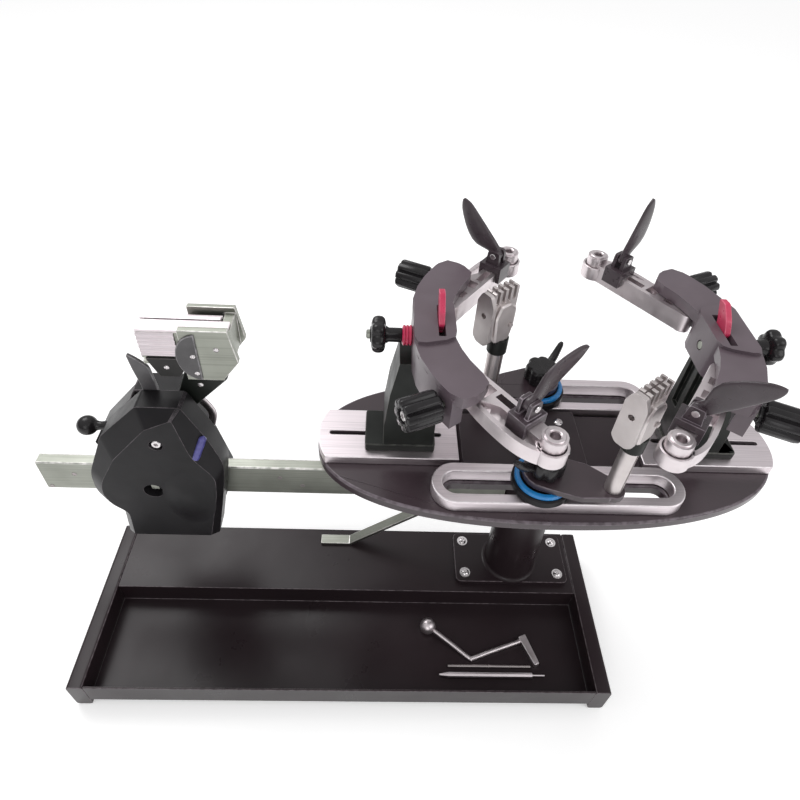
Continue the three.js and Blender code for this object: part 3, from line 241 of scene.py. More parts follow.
def disc(radius: float, low: float, high: float, steps: int = 48, edge: float = 0.0) -> Form:
    """Makes a round disc along Z, its rims chamfered.

    Args:
        radius: its radius.
        low: lower height.
        high: upper height.
        steps: sides of the round.
        edge: size of the chamfer.

    Returns:
        The disc.
    """
    if not edge:
        return lathe([(radius, low), (radius, high)], steps)
    inner = radius - edge
    return lathe([(inner, low), (radius, low + edge), (radius, high - edge), (inner, high)], steps)


def tube(path: Array, radii: Array | float, sides: int = 16, helper: Point = (0.0, 0.0, 1.0)) -> Form:
    """Carries a circle along a path: path point plus r (cos a side + sin a other), both across the way.

    Args:
        path: points along the middle.
        radii: one radius, or one for each point.
        sides: sides of the round.
        helper: a direction that the path never runs along.

    Returns:
        The closed tube.
    """
    line = np.asarray(path, float)
    way = np.gradient(line, axis=0)
    way /= np.linalg.norm(way, axis=1)[:, None]
    side = np.cross(way, np.asarray(helper))
    side /= np.linalg.norm(side, axis=1)[:, None]
    other = np.cross(way, side)
    angle = np.linspace(0.0, FULL_TURN, sides, endpoint=False)[None, :, None]
    size = np.broadcast_to(np.asarray(radii, float), len(line))[:, None, None]
    return loft(line[:, None] + size * (np.cos(angle) * side[:, None] + np.sin(angle) * other[:, None]))


def curve(points: Sequence[Sequence[float]], steps: int = 10) -> Array:
    """Runs a cubic line through points, whose slope at each is half the step between its neighbours.

    Args:
        points: what it runs through.
        steps: steps between each pair.

    Returns:
        The points along it.
    """
    p = np.asarray(points, float)
    wide = np.vstack([2 * p[0] - p[1], p, 2 * p[-1] - p[-2]])
    last = len(p) - 1
    a, b, c, d = (wide[i:i + last, None] for i in range(4))
    t = np.linspace(0.0, 1.0, steps, endpoint=False)[None, :, None]
    bend = (2 * a - 5 * b + 4 * c - d) * t**2 + (3 * b - a - 3 * c + d) * t**3
    found = 0.5 * (2 * b + (c - a) * t + bend)
    return np.vstack([found.reshape(-1, p.shape[1]), p[-1:]])


def rounded(points: Sequence[tuple[float, float]], radius: float | Sequence[float], steps: int = 5) -> Array:
    """Rounds each corner of an outline by a quadratic curve between two points on its sides.

    Args:
        points: the corners, in order.
        radius: how far the curve starts from each corner.
        steps: steps along each curve.

    Returns:
        The rounded outline.
    """
    here = np.asarray(points, float)
    reach = np.broadcast_to(np.asarray(radius, float), len(here))[:, None]
    before, after = np.roll(here, 1, axis=0) - here, np.roll(here, -1, axis=0) - here
    first = here + before / np.linalg.norm(before, axis=1)[:, None] * reach
    last = here + after / np.linalg.norm(after, axis=1)[:, None] * reach
    t = np.linspace(0.0, 1.0, steps + 1)[None, :, None]
    found = (1 - t) ** 2 * first[:, None] + 2 * t * (1 - t) * here[:, None] + t**2 * last[:, None]
    return found.reshape(-1, 2)


def rectangle(width: float, depth: float, radius: float) -> Array:
    """Returns a rectangle about the origin with rounded corners."""
    w, d = width / 2, depth / 2
    return rounded([(-w, -d), (w, -d), (w, d), (-w, d)], radius)


def obround(length: float, width: float, y: float = 0.0, steps: int = 20) -> Array:
    """Draws a slot along X: two half circles, joined by straight sides.

    Args:
        length: overall length.
        width: overall width.
        y: where its middle lies.
        steps: points of each half circle.

    Returns:
        The outline.
    """
    reach, r = (length - width) / 2, width / 2
    angle = np.linspace(-QUARTER, QUARTER, steps)
    half = np.column_stack([reach + r * np.cos(angle), r * np.sin(angle)])
    return np.vstack([half, -half]) + (0.0, y)


def powered(wave: Array, exponent: float) -> Array:
    """Raises a sine or cosine to a power and keeps its sign."""
    return np.sign(wave) * np.abs(wave) ** exponent


def superellipse(half_length: float, half_width: float, exponent: float, steps: int = 180) -> Array:
    """Draws a squarish oval: each half size times the cosine or sine to the power 2 / exponent.

    Args:
        half_length: half size along X.
        half_width: half size along Y.
        exponent: 2 for an ellipse, more for squarer.
        steps: points round it.

    Returns:
        The outline.
    """
    off_axis = 0.001
    angle = np.linspace(0.0, FULL_TURN, steps, endpoint=False) + off_axis
    power = 2 / exponent
    return np.column_stack([half_length * powered(np.cos(angle), power),
                            half_width * powered(np.sin(angle), power)])


def grooved(radius: float, depth: float, count: int, sharpness: float = 3.0, steps: int = 12) -> Array:
    """Draws a round grip: the radius less a groove of depth times a raised cosine to a power.

    Args:
        radius: outer radius.
        depth: depth of each groove.
        count: how many grooves.
        sharpness: the power, more for narrower grooves.
        steps: points for each groove.

    Returns:
        The outline.
    """
    angle = np.linspace(0.0, FULL_TURN, count * steps, endpoint=False)
    r = radius - depth * (0.5 + 0.5 * np.cos(count * angle)) ** sharpness
    return np.column_stack([r * np.cos(angle), r * np.sin(angle)])


def stacked(outline: Array, levels: Sequence[tuple[float, float]]) -> Form:
    """Stacks one outline, scaled by a share at each height.

    Args:
        outline: the flat outline.
        levels: share of its size, and height.

    Returns:
        The closed stack.
    """
    shares, heights = np.asarray(levels, float).T
    flat = outline[None] * shares[:, None, None]
    return loft(np.dstack([flat, np.broadcast_to(heights[:, None], flat.shape[:2])]))


def dome(half_x: float, half_z: float, rise: float, rows: int = 10, steps: int = 48) -> Form:
    """Makes a low mound over an ellipse: height is the rise times one less the distance squared, squared.

    Args:
        half_x: half size along X.
        half_z: half size along Z.
        rise: how far its middle stands out towards the front.
        rows: rings from rim to middle.
        steps: points round it.

    Returns:
        The mound, its foot in the XZ plane, with a flat back.
    """
    far = np.linspace(1.0, 0.0, rows)[:, None]
    angle = np.linspace(0.0, FULL_TURN, steps, endpoint=False)[None]
    out = -rise * (1 - far**2) ** 2 + 0 * angle
    return loft(np.stack([half_x * far * np.cos(angle), out, half_z * far * np.sin(angle)], axis=-1))


def toothed(x: tuple[float, float], z: tuple[float, float], depth: float, pitch: float, base: float) -> Form:
    """Makes a strip whose front is a row of teeth: its depth is a triangle wave of the height.

    Args:
        x: left and right end.
        z: lower and upper end.
        depth: height of the teeth.
        pitch: distance from tooth to tooth.
        base: thickness behind them.

    Returns:
        The strip, standing on the plane y 0 and pointing to the front.
    """
    height = np.arange(z[0], z[1] + pitch / 4, pitch / 2)
    wave = np.where(np.arange(len(height)) % 2 == 0, 0.0, depth)
    front = np.column_stack([-base - wave, height])
    side = np.vstack([(0.0, height[0]), front, (0.0, height[-1])])
    rows = np.stack([np.column_stack([np.full(len(side), at), side]) for at in x])
    return loft(rows)


# Finishes


@dataclass(frozen=True)
class Finish:
    """What a surface is made of.

    Attributes:
        slot: the record's material slot; not used.
        base, other: the two tones that its mottling runs between, linear.
        rough: lowest and highest roughness.
        metallic: 0 for paint and plastic, 1 for bare metal.
        specular: strength of the gloss of paint and plastic.
        patch: size of the tone patches in metres.
        grain: size of the fine texture in metres.
        bump: strength of the fine texture.
        stretch: scale of the streaks along X, Y and Z, or None.
        worn: tone of the rounded edges, lighter partly as wear and partly as a painted highlight, or None.
        coat: clear coat weight.
    """

    slot: str
    base: Tone
    other: Tone
    rough: tuple[float, float] = (0.35, 0.5)
    metallic: float = 0.0
    specular: float = 0.5
    patch: float = 0.05
    grain: float = 0.0008
    bump: float = 0.08
    stretch: Point | None = None
    worn: Tone | None = None
    coat: float = 0.0


class Coat(Enum):
    """The finishes of the machine."""

    # The edge tone given with each finish lightens its rounded edges, partly as wear and partly as a painted
    # highlight.
    BASE_PAINT = Finish("painted_steel", (0.0150, 0.0096, 0.0114), (0.0240, 0.0155, 0.0184), (0.26, 0.38),
                        specular=0.26, patch=0.16, bump=0.05, worn=(0.16, 0.135, 0.145), coat=0.05)
    TABLE_PAINT = Finish("plum_black_cast", (0.040, 0.026, 0.032), (0.055, 0.037, 0.045), (0.24, 0.36),
                         patch=0.16, bump=0.05, worn=(0.16, 0.13, 0.15), coat=0.15)
    COVER_PAINT = Finish("plum_black_cast", (0.026, 0.0175, 0.021), (0.036, 0.025, 0.0295), (0.30, 0.42),
                         specular=0.3, patch=0.06, bump=0.06, worn=(0.20, 0.175, 0.185))
    YOKE_PAINT = Finish("plum_grey_cast", (0.098, 0.072, 0.086), (0.130, 0.100, 0.118), (0.28, 0.40),
                        patch=0.06, grain=0.0010, bump=0.07, worn=(0.32, 0.28, 0.31), coat=0.12)
    CLAW_PAINT = Finish("plum_black_cast", (0.040, 0.028, 0.034), (0.060, 0.044, 0.053), (0.24, 0.38),
                        patch=0.02, grain=0.0007, bump=0.07, worn=(0.26, 0.22, 0.25), coat=0.15)
    POST_PAINT = Finish("plum_black_cast", (0.0110, 0.0122, 0.0110), (0.020, 0.022, 0.0198), (0.34, 0.48),
                        specular=0.2, patch=0.03, grain=0.001, bump=0.10, worn=(0.11, 0.11, 0.10))
    CARRIAGE_CAST = Finish("dark_cast", (0.014, 0.0135, 0.013), (0.022, 0.0205, 0.020), (0.36, 0.5),
                           specular=0.3, patch=0.03, grain=0.001, bump=0.10, worn=(0.10, 0.09, 0.09))
    ARM_PLATE = Finish("black_plate", (0.0085, 0.0100, 0.0085), (0.0150, 0.0175, 0.0150), (0.30, 0.44),
                       specular=0.3, patch=0.03, grain=0.0008, bump=0.07, worn=(0.09, 0.10, 0.09))
    BLACK_PLASTIC = Finish("black_plastic", (0.0090, 0.0084, 0.0094), (0.0155, 0.0142, 0.0160), (0.30, 0.42),
                           specular=0.16, patch=0.04, bump=0.07, worn=(0.13, 0.115, 0.125))
    KNOB_PLASTIC = Finish("black_plastic", (0.0090, 0.0080, 0.0088), (0.016, 0.014, 0.0158), (0.18, 0.30),
                          specular=0.32, patch=0.01, grain=0.0006, bump=0.04, worn=(0.12, 0.11, 0.12),
                          coat=0.06)
    RED_PLASTIC = Finish("red_plastic", (0.50, 0.022, 0.080), (0.64, 0.04, 0.115), (0.25, 0.38),
                         patch=0.01, grain=0.0006, bump=0.04, worn=(0.78, 0.16, 0.25), coat=0.2)
    BLUE_RING = Finish("black_plastic", (0.010, 0.17, 0.46), (0.016, 0.24, 0.60), (0.22, 0.36),
                       patch=0.01, grain=0.0006, bump=0.04, coat=0.2)
    VIOLET = Finish("black_plastic", (0.055, 0.050, 0.21), (0.10, 0.095, 0.34), (0.30, 0.42),
                    patch=0.006, grain=0.0006, bump=0.05, coat=0.1)
    ALUMINIUM = Finish("satin_aluminium", (0.74, 0.67, 0.70), (0.80, 0.73, 0.76), (0.36, 0.48), 1.0,
                       patch=0.08, grain=0.0005, bump=0.03, stretch=(9.0, 900.0, 900.0),
                       worn=(0.90, 0.85, 0.87))
    CAST_ALUMINIUM = Finish("satin_aluminium", (0.66, 0.60, 0.62), (0.75, 0.69, 0.705), (0.30, 0.44), 1.0,
                            patch=0.02, grain=0.0009, bump=0.10, worn=(0.88, 0.83, 0.84))
    BLASTED = Finish("bead_blasted_aluminium", (0.58, 0.535, 0.53), (0.66, 0.615, 0.61), (0.36, 0.48), 1.0,
                     patch=0.02, grain=0.0006, bump=0.10, worn=(0.84, 0.79, 0.78))
    STEEL = Finish("bare_steel", (0.27, 0.28, 0.245), (0.35, 0.36, 0.32), (0.34, 0.46), 1.0,
                   patch=0.06, grain=0.0006, bump=0.04, stretch=(8.0, 700.0, 700.0), worn=(0.80, 0.78, 0.76))
    BRIGHT = Finish("bare_steel", (0.66, 0.63, 0.64), (0.76, 0.73, 0.74), (0.16, 0.28), 1.0,
                    patch=0.02, grain=0.0004, bump=0.02)
    TOOL_STEEL = Finish("dark_tool_steel", (0.30, 0.27, 0.27), (0.42, 0.38, 0.38), (0.22, 0.4), 1.0,
                        patch=0.03, grain=0.0005, bump=0.04)
    BRONZE = Finish("bearing_bronze", (0.50, 0.36, 0.17), (0.60, 0.46, 0.25), (0.25, 0.4), 1.0)
    LEVER = Finish("dark_lever", (0.058, 0.055, 0.058), (0.09, 0.086, 0.09), (0.28, 0.42),
                   patch=0.015, grain=0.0007, bump=0.08, worn=(0.30, 0.29, 0.30))


class Recipe:
    """One procedural material, built from its finish.

    Attributes:
        COAT_ROUGHNESS: roughness of the clear coat.
        PATCH_RANGE, PATCH_DETAIL: range of the noise that the tones run over, and its finer layers.
        ROUGH_RANGE, ROUGH_SCALE, ROUGH_DETAIL: the same for the gloss, and how much finer it is.
        GRAIN_DETAIL, STREAK_DETAIL: finer layers of the grain and of brushed streaks.
        STREAK_RANGE, STREAK_SHARE, STREAK_TONE: range, strength and darkness of brushed streaks.
        CHIP_SIZE, CHIP_RANGE, CHIP_SHARE: size in metres, range and strength of the patches in which the
            rounded edges are lighter, partly as wear and partly as a painted highlight.
    """

    COAT_ROUGHNESS = 0.2
    PATCH_RANGE, PATCH_DETAIL = (0.32, 0.68), 4.0
    ROUGH_RANGE, ROUGH_SCALE, ROUGH_DETAIL = (0.3, 0.7), 2.4, 5.0
    GRAIN_DETAIL, STREAK_DETAIL = 2.0, 3.0
    STREAK_RANGE, STREAK_SHARE, STREAK_TONE = (0.45, 0.75), (0.0, 0.6), 0.72
    CHIP_SIZE, CHIP_RANGE, CHIP_SHARE = 0.006, (0.36, 0.60), (0.25, 0.95)

    def __init__(self, name: str, finish: Finish, edge: bool) -> None:
        """Makes the material.

        Args:
            name: the material's name.
            finish: what it is made of.
            edge: whether it is for the rounded edges, lighter partly as wear and partly as a painted highlight.
        """
        self.material = bpy.data.materials.new(name)
        self.material.use_nodes = True
        self.nodes = self.material.node_tree.nodes
        self.links = self.material.node_tree.links
        self.shader = self.nodes["Principled BSDF"]
        self.space = self.nodes.new("ShaderNodeTexCoord").outputs["Object"]
        self._gloss(finish)
        self._colour(finish, edge)

    def noise(self, scale: float, detail: float, stretch: Point | None = None) -> bpy.types.NodeSocket:
        """Adds a noise texture in the machine's own space.

        Args:
            scale: how many patches to the metre.
            detail: how many finer layers.
            stretch: scale along each axis, or None.

        Returns:
            Its value.
        """
        texture = self.nodes.new("ShaderNodeTexNoise")
        texture.inputs["Scale"].default_value = scale
        texture.inputs["Detail"].default_value = detail
        source = self.space
        if stretch:
            mapping = self.nodes.new("ShaderNodeMapping")
            mapping.inputs["Scale"].default_value = stretch
            self.links.new(self.space, mapping.inputs["Vector"])
            source = mapping.outputs["Vector"]
        self.links.new(source, texture.inputs["Vector"])
        return texture.outputs["Fac"]

    def ranged(self, value: bpy.types.NodeSocket, source: tuple[float, float],
               target: tuple[float, float] = (0.0, 1.0)) -> bpy.types.NodeSocket:
        """Takes one range of a value to another, and stops at its ends.

        Args:
            value: what is taken.
            source: its range.
            target: the new range.

        Returns:
            The new value.
        """
        node = self.nodes.new("ShaderNodeMapRange")
        for name, number in zip(("From Min", "From Max", "To Min", "To Max"), (*source, *target)):
            node.inputs[name].default_value = number
        self.links.new(value, node.inputs["Value"])
        return node.outputs["Result"]

    def mixed(self, share: bpy.types.NodeSocket, first: bpy.types.NodeSocket | Tone,
              second: bpy.types.NodeSocket | Tone) -> bpy.types.NodeSocket:
        """Mixes two colours.

        Args:
            share: how much of the second.
            first: a socket or a tone.
            second: a socket or a tone.

        Returns:
            The mixture.
        """
        node = self.nodes.new("ShaderNodeMix")
        node.data_type = "RGBA"
        self.links.new(share, node.inputs[0])
        for socket, value in ((node.inputs[6], first), (node.inputs[7], second)):
            if isinstance(value, tuple):
                socket.default_value = (*value, 1.0)
            else:
                self.links.new(value, socket)
        return node.outputs[2]

    def _gloss(self, finish: Finish) -> None:
        """Sets what is the same all over the surface.

        Args:
            finish: what the surface is made of.
        """
        self.shader.inputs["Metallic"].default_value = finish.metallic
        self.shader.inputs["Specular IOR Level"].default_value = finish.specular
        self.shader.inputs["Coat Weight"].default_value = finish.coat
        self.shader.inputs["Coat Roughness"].default_value = self.COAT_ROUGHNESS

    def _colour(self, finish: Finish, edge: bool) -> None:
        """Builds mottled tones, streaks or grain, uneven gloss, and lighter edges that are partly wear and
        partly a painted highlight.

        Args:
            finish: what the surface is made of.
            edge: whether it is for the rounded edges, lighter partly as wear and partly as a painted highlight.
        """
        patches = self.noise(1 / finish.patch, self.PATCH_DETAIL)
        colour = self.mixed(self.ranged(patches, self.PATCH_RANGE), finish.base, finish.other)
        unevenness = self.noise(self.ROUGH_SCALE / finish.patch, self.ROUGH_DETAIL)
        rough = self.ranged(unevenness, self.ROUGH_RANGE, finish.rough)
        if finish.stretch:
            height = self.noise(1.0, self.STREAK_DETAIL, finish.stretch)
            dimmed = tuple(self.STREAK_TONE * part for part in finish.base)
            colour = self.mixed(self.ranged(height, self.STREAK_RANGE, self.STREAK_SHARE), colour, dimmed)
        else:
            height = self.noise(1 / finish.grain, self.GRAIN_DETAIL)
        # Rounded edges: patches of a lighter tone, partly wear and partly a painted highlight.
        if edge:
            edge_patches = self.noise(1 / self.CHIP_SIZE, self.PATCH_DETAIL)
            edge_patches = self.ranged(edge_patches, self.CHIP_RANGE, self.CHIP_SHARE)
            colour = self.mixed(edge_patches, colour, finish.worn)
        bump = self.nodes.new("ShaderNodeBump")
        bump.inputs["Strength"].default_value = finish.bump
        bump.inputs["Distance"].default_value = finish.grain
        self.links.new(height, bump.inputs["Height"])
        self.links.new(colour, self.shader.inputs["Base Color"])
        self.links.new(rough, self.shader.inputs["Roughness"])
        self.links.new(bump.outputs["Normal"], self.shader.inputs["Normal"])


# Making pieces


@dataclass(frozen=True)
class Edges:
    """How a piece's edges are finished.

    Attributes:
        bevel: width of the rounded edges in millimetres, 0 for none.
        steps: steps across a rounded edge.
        sharp: angle in degrees above which an edge is rounded, or stays sharp.
    """

    bevel: float = 0.0
    steps: int = 2
    sharp: float = 35.0


class Workshop:
    """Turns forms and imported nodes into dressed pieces.

    Attributes:
        FORM_MERGE, NODE_MERGE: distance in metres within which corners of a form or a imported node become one.
        FLAT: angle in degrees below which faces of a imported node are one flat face.
        NODE_SHARP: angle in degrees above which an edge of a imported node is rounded.
    """

    FORM_MERGE = 1e-6
    NODE_MERGE = 2e-6
    FLAT = 0.6
    NODE_SHARP = 38.0

    def __init__(self, frame: dict) -> None:
        """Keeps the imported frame.
        """
        self.nodes: dict[str, bpy.types.Object] = frame["nodes"]
        bodies = frame["record"]["behaviour"]["bodies"]
        self.body_of = {node: body for body, nodes in bodies.items() for node in nodes}
        self.materials: dict[str, bpy.types.Material] = {}

    def material(self, coat: Coat, edge: bool = False) -> bpy.types.Material:
        """Returns the material of a finish, made once.

        Args:
            coat: which finish.
            edge: whether it is for the rounded edges, lighter partly as wear and partly as a painted highlight.

        Returns:
            The material.
        """
        name = coat.name.lower() + ("_edge" if edge else "")
        if name not in self.materials:
            self.materials[name] = Recipe(name, coat.value, edge).material
        return self.materials[name]

    def add(self, name: str, node: str, coat: Coat, form: Form, at: Matrix = ROW, cuts: Form | None = None,
            edges: Edges = Edges(), replaces: bool = False) -> bpy.types.Object:
        """Makes a piece from a form.

        Args:
            name: the piece's name.
            node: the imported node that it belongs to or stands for.
            coat: its finish.
            form: its shape.
            at: where its own frame lies.
            cuts: a form that is cut out of it.
            edges: how its edges are finished.
            replaces: whether it stands for the node.

        Returns:
            The new object.
        """
        mesh = self._mesh(name, form.moved(at))
        cutter = None if cuts is None else cuts.moved(at)
        return self._finish(name, node, coat, mesh, cutter, edges, replaces)

    def refine(self, node: str, coat: Coat, bevel: float = 0.5, steps: int = 2, cuts: Form | None = None,
               at: Matrix = ROW) -> bpy.types.Object:
        """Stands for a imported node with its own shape, its edges rounded.

        Args:
            node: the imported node.
            coat: its finish.
            bevel: width of the rounded edges in millimetres.
            steps: steps across a rounded edge.
            cuts: a form that is cut out of it.
            at: where the cutting form's frame lies.

        Returns:
            The new object.
        """
        shape = bmesh.new()
        shape.from_mesh(self.nodes[node].data)
        bmesh.ops.remove_doubles(shape, verts=shape.verts, dist=self.NODE_MERGE)
        bmesh.ops.dissolve_limit(shape, angle_limit=math.radians(self.FLAT), verts=shape.verts,
                                 edges=shape.edges, use_dissolve_boundaries=False)
        name = node + "_smooth"
        mesh = bpy.data.meshes.new(name)
        shape.to_mesh(mesh)
        shape.free()
        cutter = None if cuts is None else cuts.moved(at)
        return self._finish(name, node, coat, mesh, cutter, Edges(bevel, steps, self.NODE_SHARP), True)

    def paint(self, node: str, coat: Coat) -> None:
        """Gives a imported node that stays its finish.

        Args:
            node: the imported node.
            coat: its finish.
        """
        data = self.nodes[node].data
        data.materials.clear()
        data.materials.append(self.material(coat))
        LOG.info("%s painted", node)

    @classmethod
    def _mesh(cls, name: str, form: Form) -> bpy.types.Mesh:
        """Puts a form into a mesh, closes its seams and turns its faces outwards.

        Args:
            name: the mesh's name.
            form: its shape, in metres.

        Returns:
            The mesh.
        """
        mesh = bpy.data.meshes.new(name)
        mesh.from_pydata(form.points.tolist(), [], form.faces())
        shape = bmesh.new()
        shape.from_mesh(mesh)
        bmesh.ops.remove_doubles(shape, verts=shape.verts, dist=cls.FORM_MERGE)
        bmesh.ops.recalc_face_normals(shape, faces=shape.faces)
        shape.to_mesh(mesh)
        shape.free()
        return mesh

    def _finish(self, name: str, node: str, coat: Coat, mesh: bpy.types.Mesh, cutter: Form | None,
                edges: Edges, replaces: bool) -> bpy.types.Object:
        """Cuts, rounds, shades and dresses a mesh, and ties it to its body.

        Args:
            name: the piece's name.
            node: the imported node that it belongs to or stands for.
            coat: its finish.
            mesh: its shape, in metres.
            cutter: a form in metres that is cut out of it.
            edges: how its edges are finished.
            replaces: whether it stands for the node.

        Returns:
            The new object.
        """
        # Rounded edges get the lighter edge material: partly wear, partly a painted highlight.
        worn = bool(edges.bevel and coat.value.worn)
        mesh.materials.append(self.material(coat))
        if worn:
            mesh.materials.append(self.material(coat, edge=True))
        piece = bpy.data.objects.new(name, mesh)
        bpy.context.scene.collection.objects.link(piece)
        if cutter is not None:
            tool = bpy.data.objects.new("cutter", self._mesh("cutter", cutter))
            bpy.context.scene.collection.objects.link(tool)
            carve = piece.modifiers.new("carve", "BOOLEAN")
            carve.operation, carve.solver, carve.object = "DIFFERENCE", "EXACT", tool
            carve.use_self = True
            self._bake(piece)
            bpy.data.objects.remove(tool)
        if edges.bevel:
            rounding = piece.modifiers.new("bevel", "BEVEL")
            rounding.width, rounding.segments = edges.bevel * MM, edges.steps
            rounding.limit_method, rounding.angle_limit = "ANGLE", math.radians(edges.sharp)
            rounding.miter_outer = "MITER_ARC"
            rounding.material = 1 if worn else -1
            self._bake(piece)
        piece.data.polygons.foreach_set("use_smooth", np.ones(len(piece.data.polygons), bool))
        piece.data.set_sharp_from_angle(angle=math.radians(edges.sharp))
        if edges.bevel:
            weighted = piece.modifiers.new("normals", "WEIGHTED_NORMAL")
            weighted.keep_sharp = True
            self._bake(piece)
        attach(piece, self.body_of[node])
        if replaces:
            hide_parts(node)
        LOG.info("%s: %d faces", name, len(piece.data.polygons))
        return piece

    @staticmethod
    def _bake(piece: bpy.types.Object) -> None:
        """Applies a piece's modifiers to its mesh.

        Args:
            piece: the piece, with its modifiers.
        """
        bpy.context.view_layer.update()
        evaluated = piece.evaluated_get(bpy.context.evaluated_depsgraph_get())
        made = bpy.data.meshes.new_from_object(evaluated)
        piece.modifiers.clear()
        piece.data = made


# Fasteners


SCREW_SIDES = 32


def socket_screw(radius: float, height: float) -> tuple[Form, Form]:
    """Makes a cap screw's head, seated at z 0, and the hexagon that is cut into it.

    Args:
        radius: the head's radius.
        height: the head's height.

    Returns:
        The head and its recess.
    """
    edge, foot, socket, floor = radius * 0.16, radius * 0.98, radius * 0.5, height * 0.45
    profile = [(foot, 0.0), (radius, edge / 2), (radius, height - edge), (radius - edge, height)]
    return lathe(profile, SCREW_SIDES), disc(socket, floor, height + 1.0, 6)


def pan_screw(radius: float, height: float) -> tuple[Form, Form]:
    """Makes a domed screw head, a quarter ellipse turned about Z, seated at z 0, and its cross recess.

    Args:
        radius: the head's radius.
        height: the head's height.

    Returns:
        The head and its recess.
    """
    below, flat_top = 0.2, 0.03
    angle = np.linspace(0.0, QUARTER - flat_top, 8)
    rise = list(zip(radius * np.cos(angle), height * np.sin(angle)))
    half_slot, reach = radius * 0.16, radius * 0.55
    arm = np.array([(half_slot, -half_slot), (reach, -half_slot), (reach, half_slot)])
    quarters = [np.array([(c, s), (-s, c)]) for c, s in ((1, 0), (0, 1), (-1, 0), (0, -1))]
    cross = np.vstack([arm @ quarter for quarter in quarters])
    return lathe([(radius, -below), *rise], SCREW_SIDES), prism(cross, height * 0.5, height * 2)


@dataclass
class Section:
    """A sub-assembly that a workshop makes.

    Attributes:
        shop: what makes the pieces.
    """

    shop: Workshop

    def screws(self, name: str, node: str, places: Sequence[Matrix], radius: float,
               kind: Callable[[float, float], tuple[Form, Form]] = pan_screw, coat: Coat = Coat.BRIGHT,
               rise_share: float = 0.5) -> None:
        """Sets screws of one kind on a piece.

        Args:
            name: the group's name.
            node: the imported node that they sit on.
            places: where each head is seated.
            radius: their radius.
            kind: the maker of the head.
            coat: their finish.
            rise_share: head height as a share of the radius.
        """
        head, recess = kind(radius, radius * rise_share)
        self.shop.add(name, node, coat, copies(head, places), Matrix.Identity(4), copies(recess, places))

    def facing(self, at: Matrix, x: float, y: float, z: float) -> Matrix:
        """Returns a place whose Z points to the machine's front."""
        return at @ shift(x, y, z) @ TO_FRONT


@dataclass
class BaseFrame(Section):
    """Chassis, side rails, column, rail and brace.

    Attributes:
        plate: width, depth and corner of the column's foot plate.
        plate_low, plate_top: its heights.
        tube_radius, bore_radius: outer and inner radius of the column's tube.
        tube_foot, tube_straight, tube_top: where the tube starts, runs straight and ends.
        rim, bore_rim, bore_step: chamfers of its mouth, and the step in its bore.
        weld, weld_sink: size of the fillet weld, and how deep it sits in the plate.
        bolt_x, bolt_y, bolt_radius, bolt_seat, bolt_rise, bolt_twist: the foot's bolts: their places, radius,
            seat on the washer, height as a share of the radius, and the turn that sets each one differently.
        washer, washer_edge: bore, rim and thickness of a washer, and its chamfer.
        rail_front, rail_screw, rail_spots: the rail's front face, and its screws: their radius, the share of
            it that they rise, and their places.
    """

    plate: tuple[float, float, float] = (132.0, 64.0, 7.0)
    plate_low: float = 42.3
    plate_top: float = 48.3
    tube_radius: float = 29.0
    bore_radius: float = 25.0
    tube_foot: float = 47.0
    tube_straight: float = 60.0
    tube_top: float = 236.0
    rim: tuple[float, float] = (0.7, 1.2)
    bore_rim: float = 0.6
    bore_step: float = 0.2
    weld: float = 5.0
    weld_sink: float = 0.1
    bolt_x: float = 55.0
    bolt_y: float = 21.0
    bolt_radius: float = 4.6
    bolt_seat: float = 0.9
    bolt_rise: float = 0.62
    bolt_twist: float = 31.0
    washer: tuple[float, float, float] = (3.0, 6.4, 1.0)
    washer_edge: float = 0.2
    rail_front: float = 47.0
    rail_screw: tuple[float, float] = (2.3, 0.07)
    rail_spots: Outline = ((-301.0, 186.0), (-273.0, 206.0), (-70.0, 208.0), (-48.0, 196.0))

    def build(self) -> None:
        """Makes the section's pieces."""
        self.shop.refine("base_chassis", Coat.BASE_PAINT, 0.5)
        for side in Side:
            self.shop.refine(f"side_rail_{side.value}", Coat.BASE_PAINT, 0.9, 3)
        self.shop.refine("tension_rail", Coat.STEEL, 0.6)
        self.shop.refine("rail_brace", Coat.STEEL, 0.6)
        self.shop.paint("column_bearing", Coat.BRONZE)
        self._column()
        self._fasteners()

    def _column(self) -> None:
        """Makes the foot plate, and the tube with a fillet weld whose section is a quarter circle."""
        at = ROW @ shift(*COLUMN_AT)
        foot = prism(rectangle(*self.plate), self.plate_low, self.plate_top)
        self.shop.add("column_plate", "column", Coat.BASE_PAINT, foot, at, edges=Edges(0.7))
        angle = np.linspace(0.0, QUARTER, 9)
        bead = zip(self.tube_radius + self.weld * (1 - np.sin(angle)),
                   self.plate_top - self.weld_sink + self.weld * (1 - np.cos(angle)))
        r, bore, low, top = self.tube_radius, self.bore_radius, self.tube_straight, self.tube_top
        outside = [(r, low), (r, top - self.rim[1]), (r - self.rim[0], top)]
        inside = [(bore + self.bore_rim, top), (bore, top - self.bore_rim), (bore, low)]
        wall = lathe([(bore + self.bore_step, self.tube_foot), *bead, *outside, *inside], 72)
        self.shop.add("column_tube", "column", Coat.BASE_PAINT, wall, at, replaces=True)

    def _fasteners(self) -> None:
        """Sets the foot's bolts on washers, and the rail's screws."""
        at = ROW @ shift(*COLUMN_AT, self.plate_top)
        spots = [(x, y) for x in (-self.bolt_x, self.bolt_x) for y in (-self.bolt_y, self.bolt_y)]
        bore, rim, thick = self.washer
        edge = rim - self.washer_edge
        ring = lathe([(bore, 0.0), (edge, 0.0), (rim, thick / 2), (edge, thick), (bore, thick)], 32, True)
        washers = copies(ring, [shift(*spot, 0) for spot in spots])
        self.shop.add("column_washers", "column", Coat.BRIGHT, washers, at)
        bolts = [at @ shift(x, y, self.bolt_seat) @ turn(self.bolt_twist * x + y) for x, y in spots]
        self.screws("column_bolts", "column", bolts, self.bolt_radius, rise_share=self.bolt_rise)
        places = [self.facing(ROW, x, self.rail_front, z) for x, z in self.rail_spots]
        radius, rise = self.rail_screw
        self.screws("rail_screws", "tension_rail", places, radius, socket_screw, Coat.TOOL_STEEL, rise)


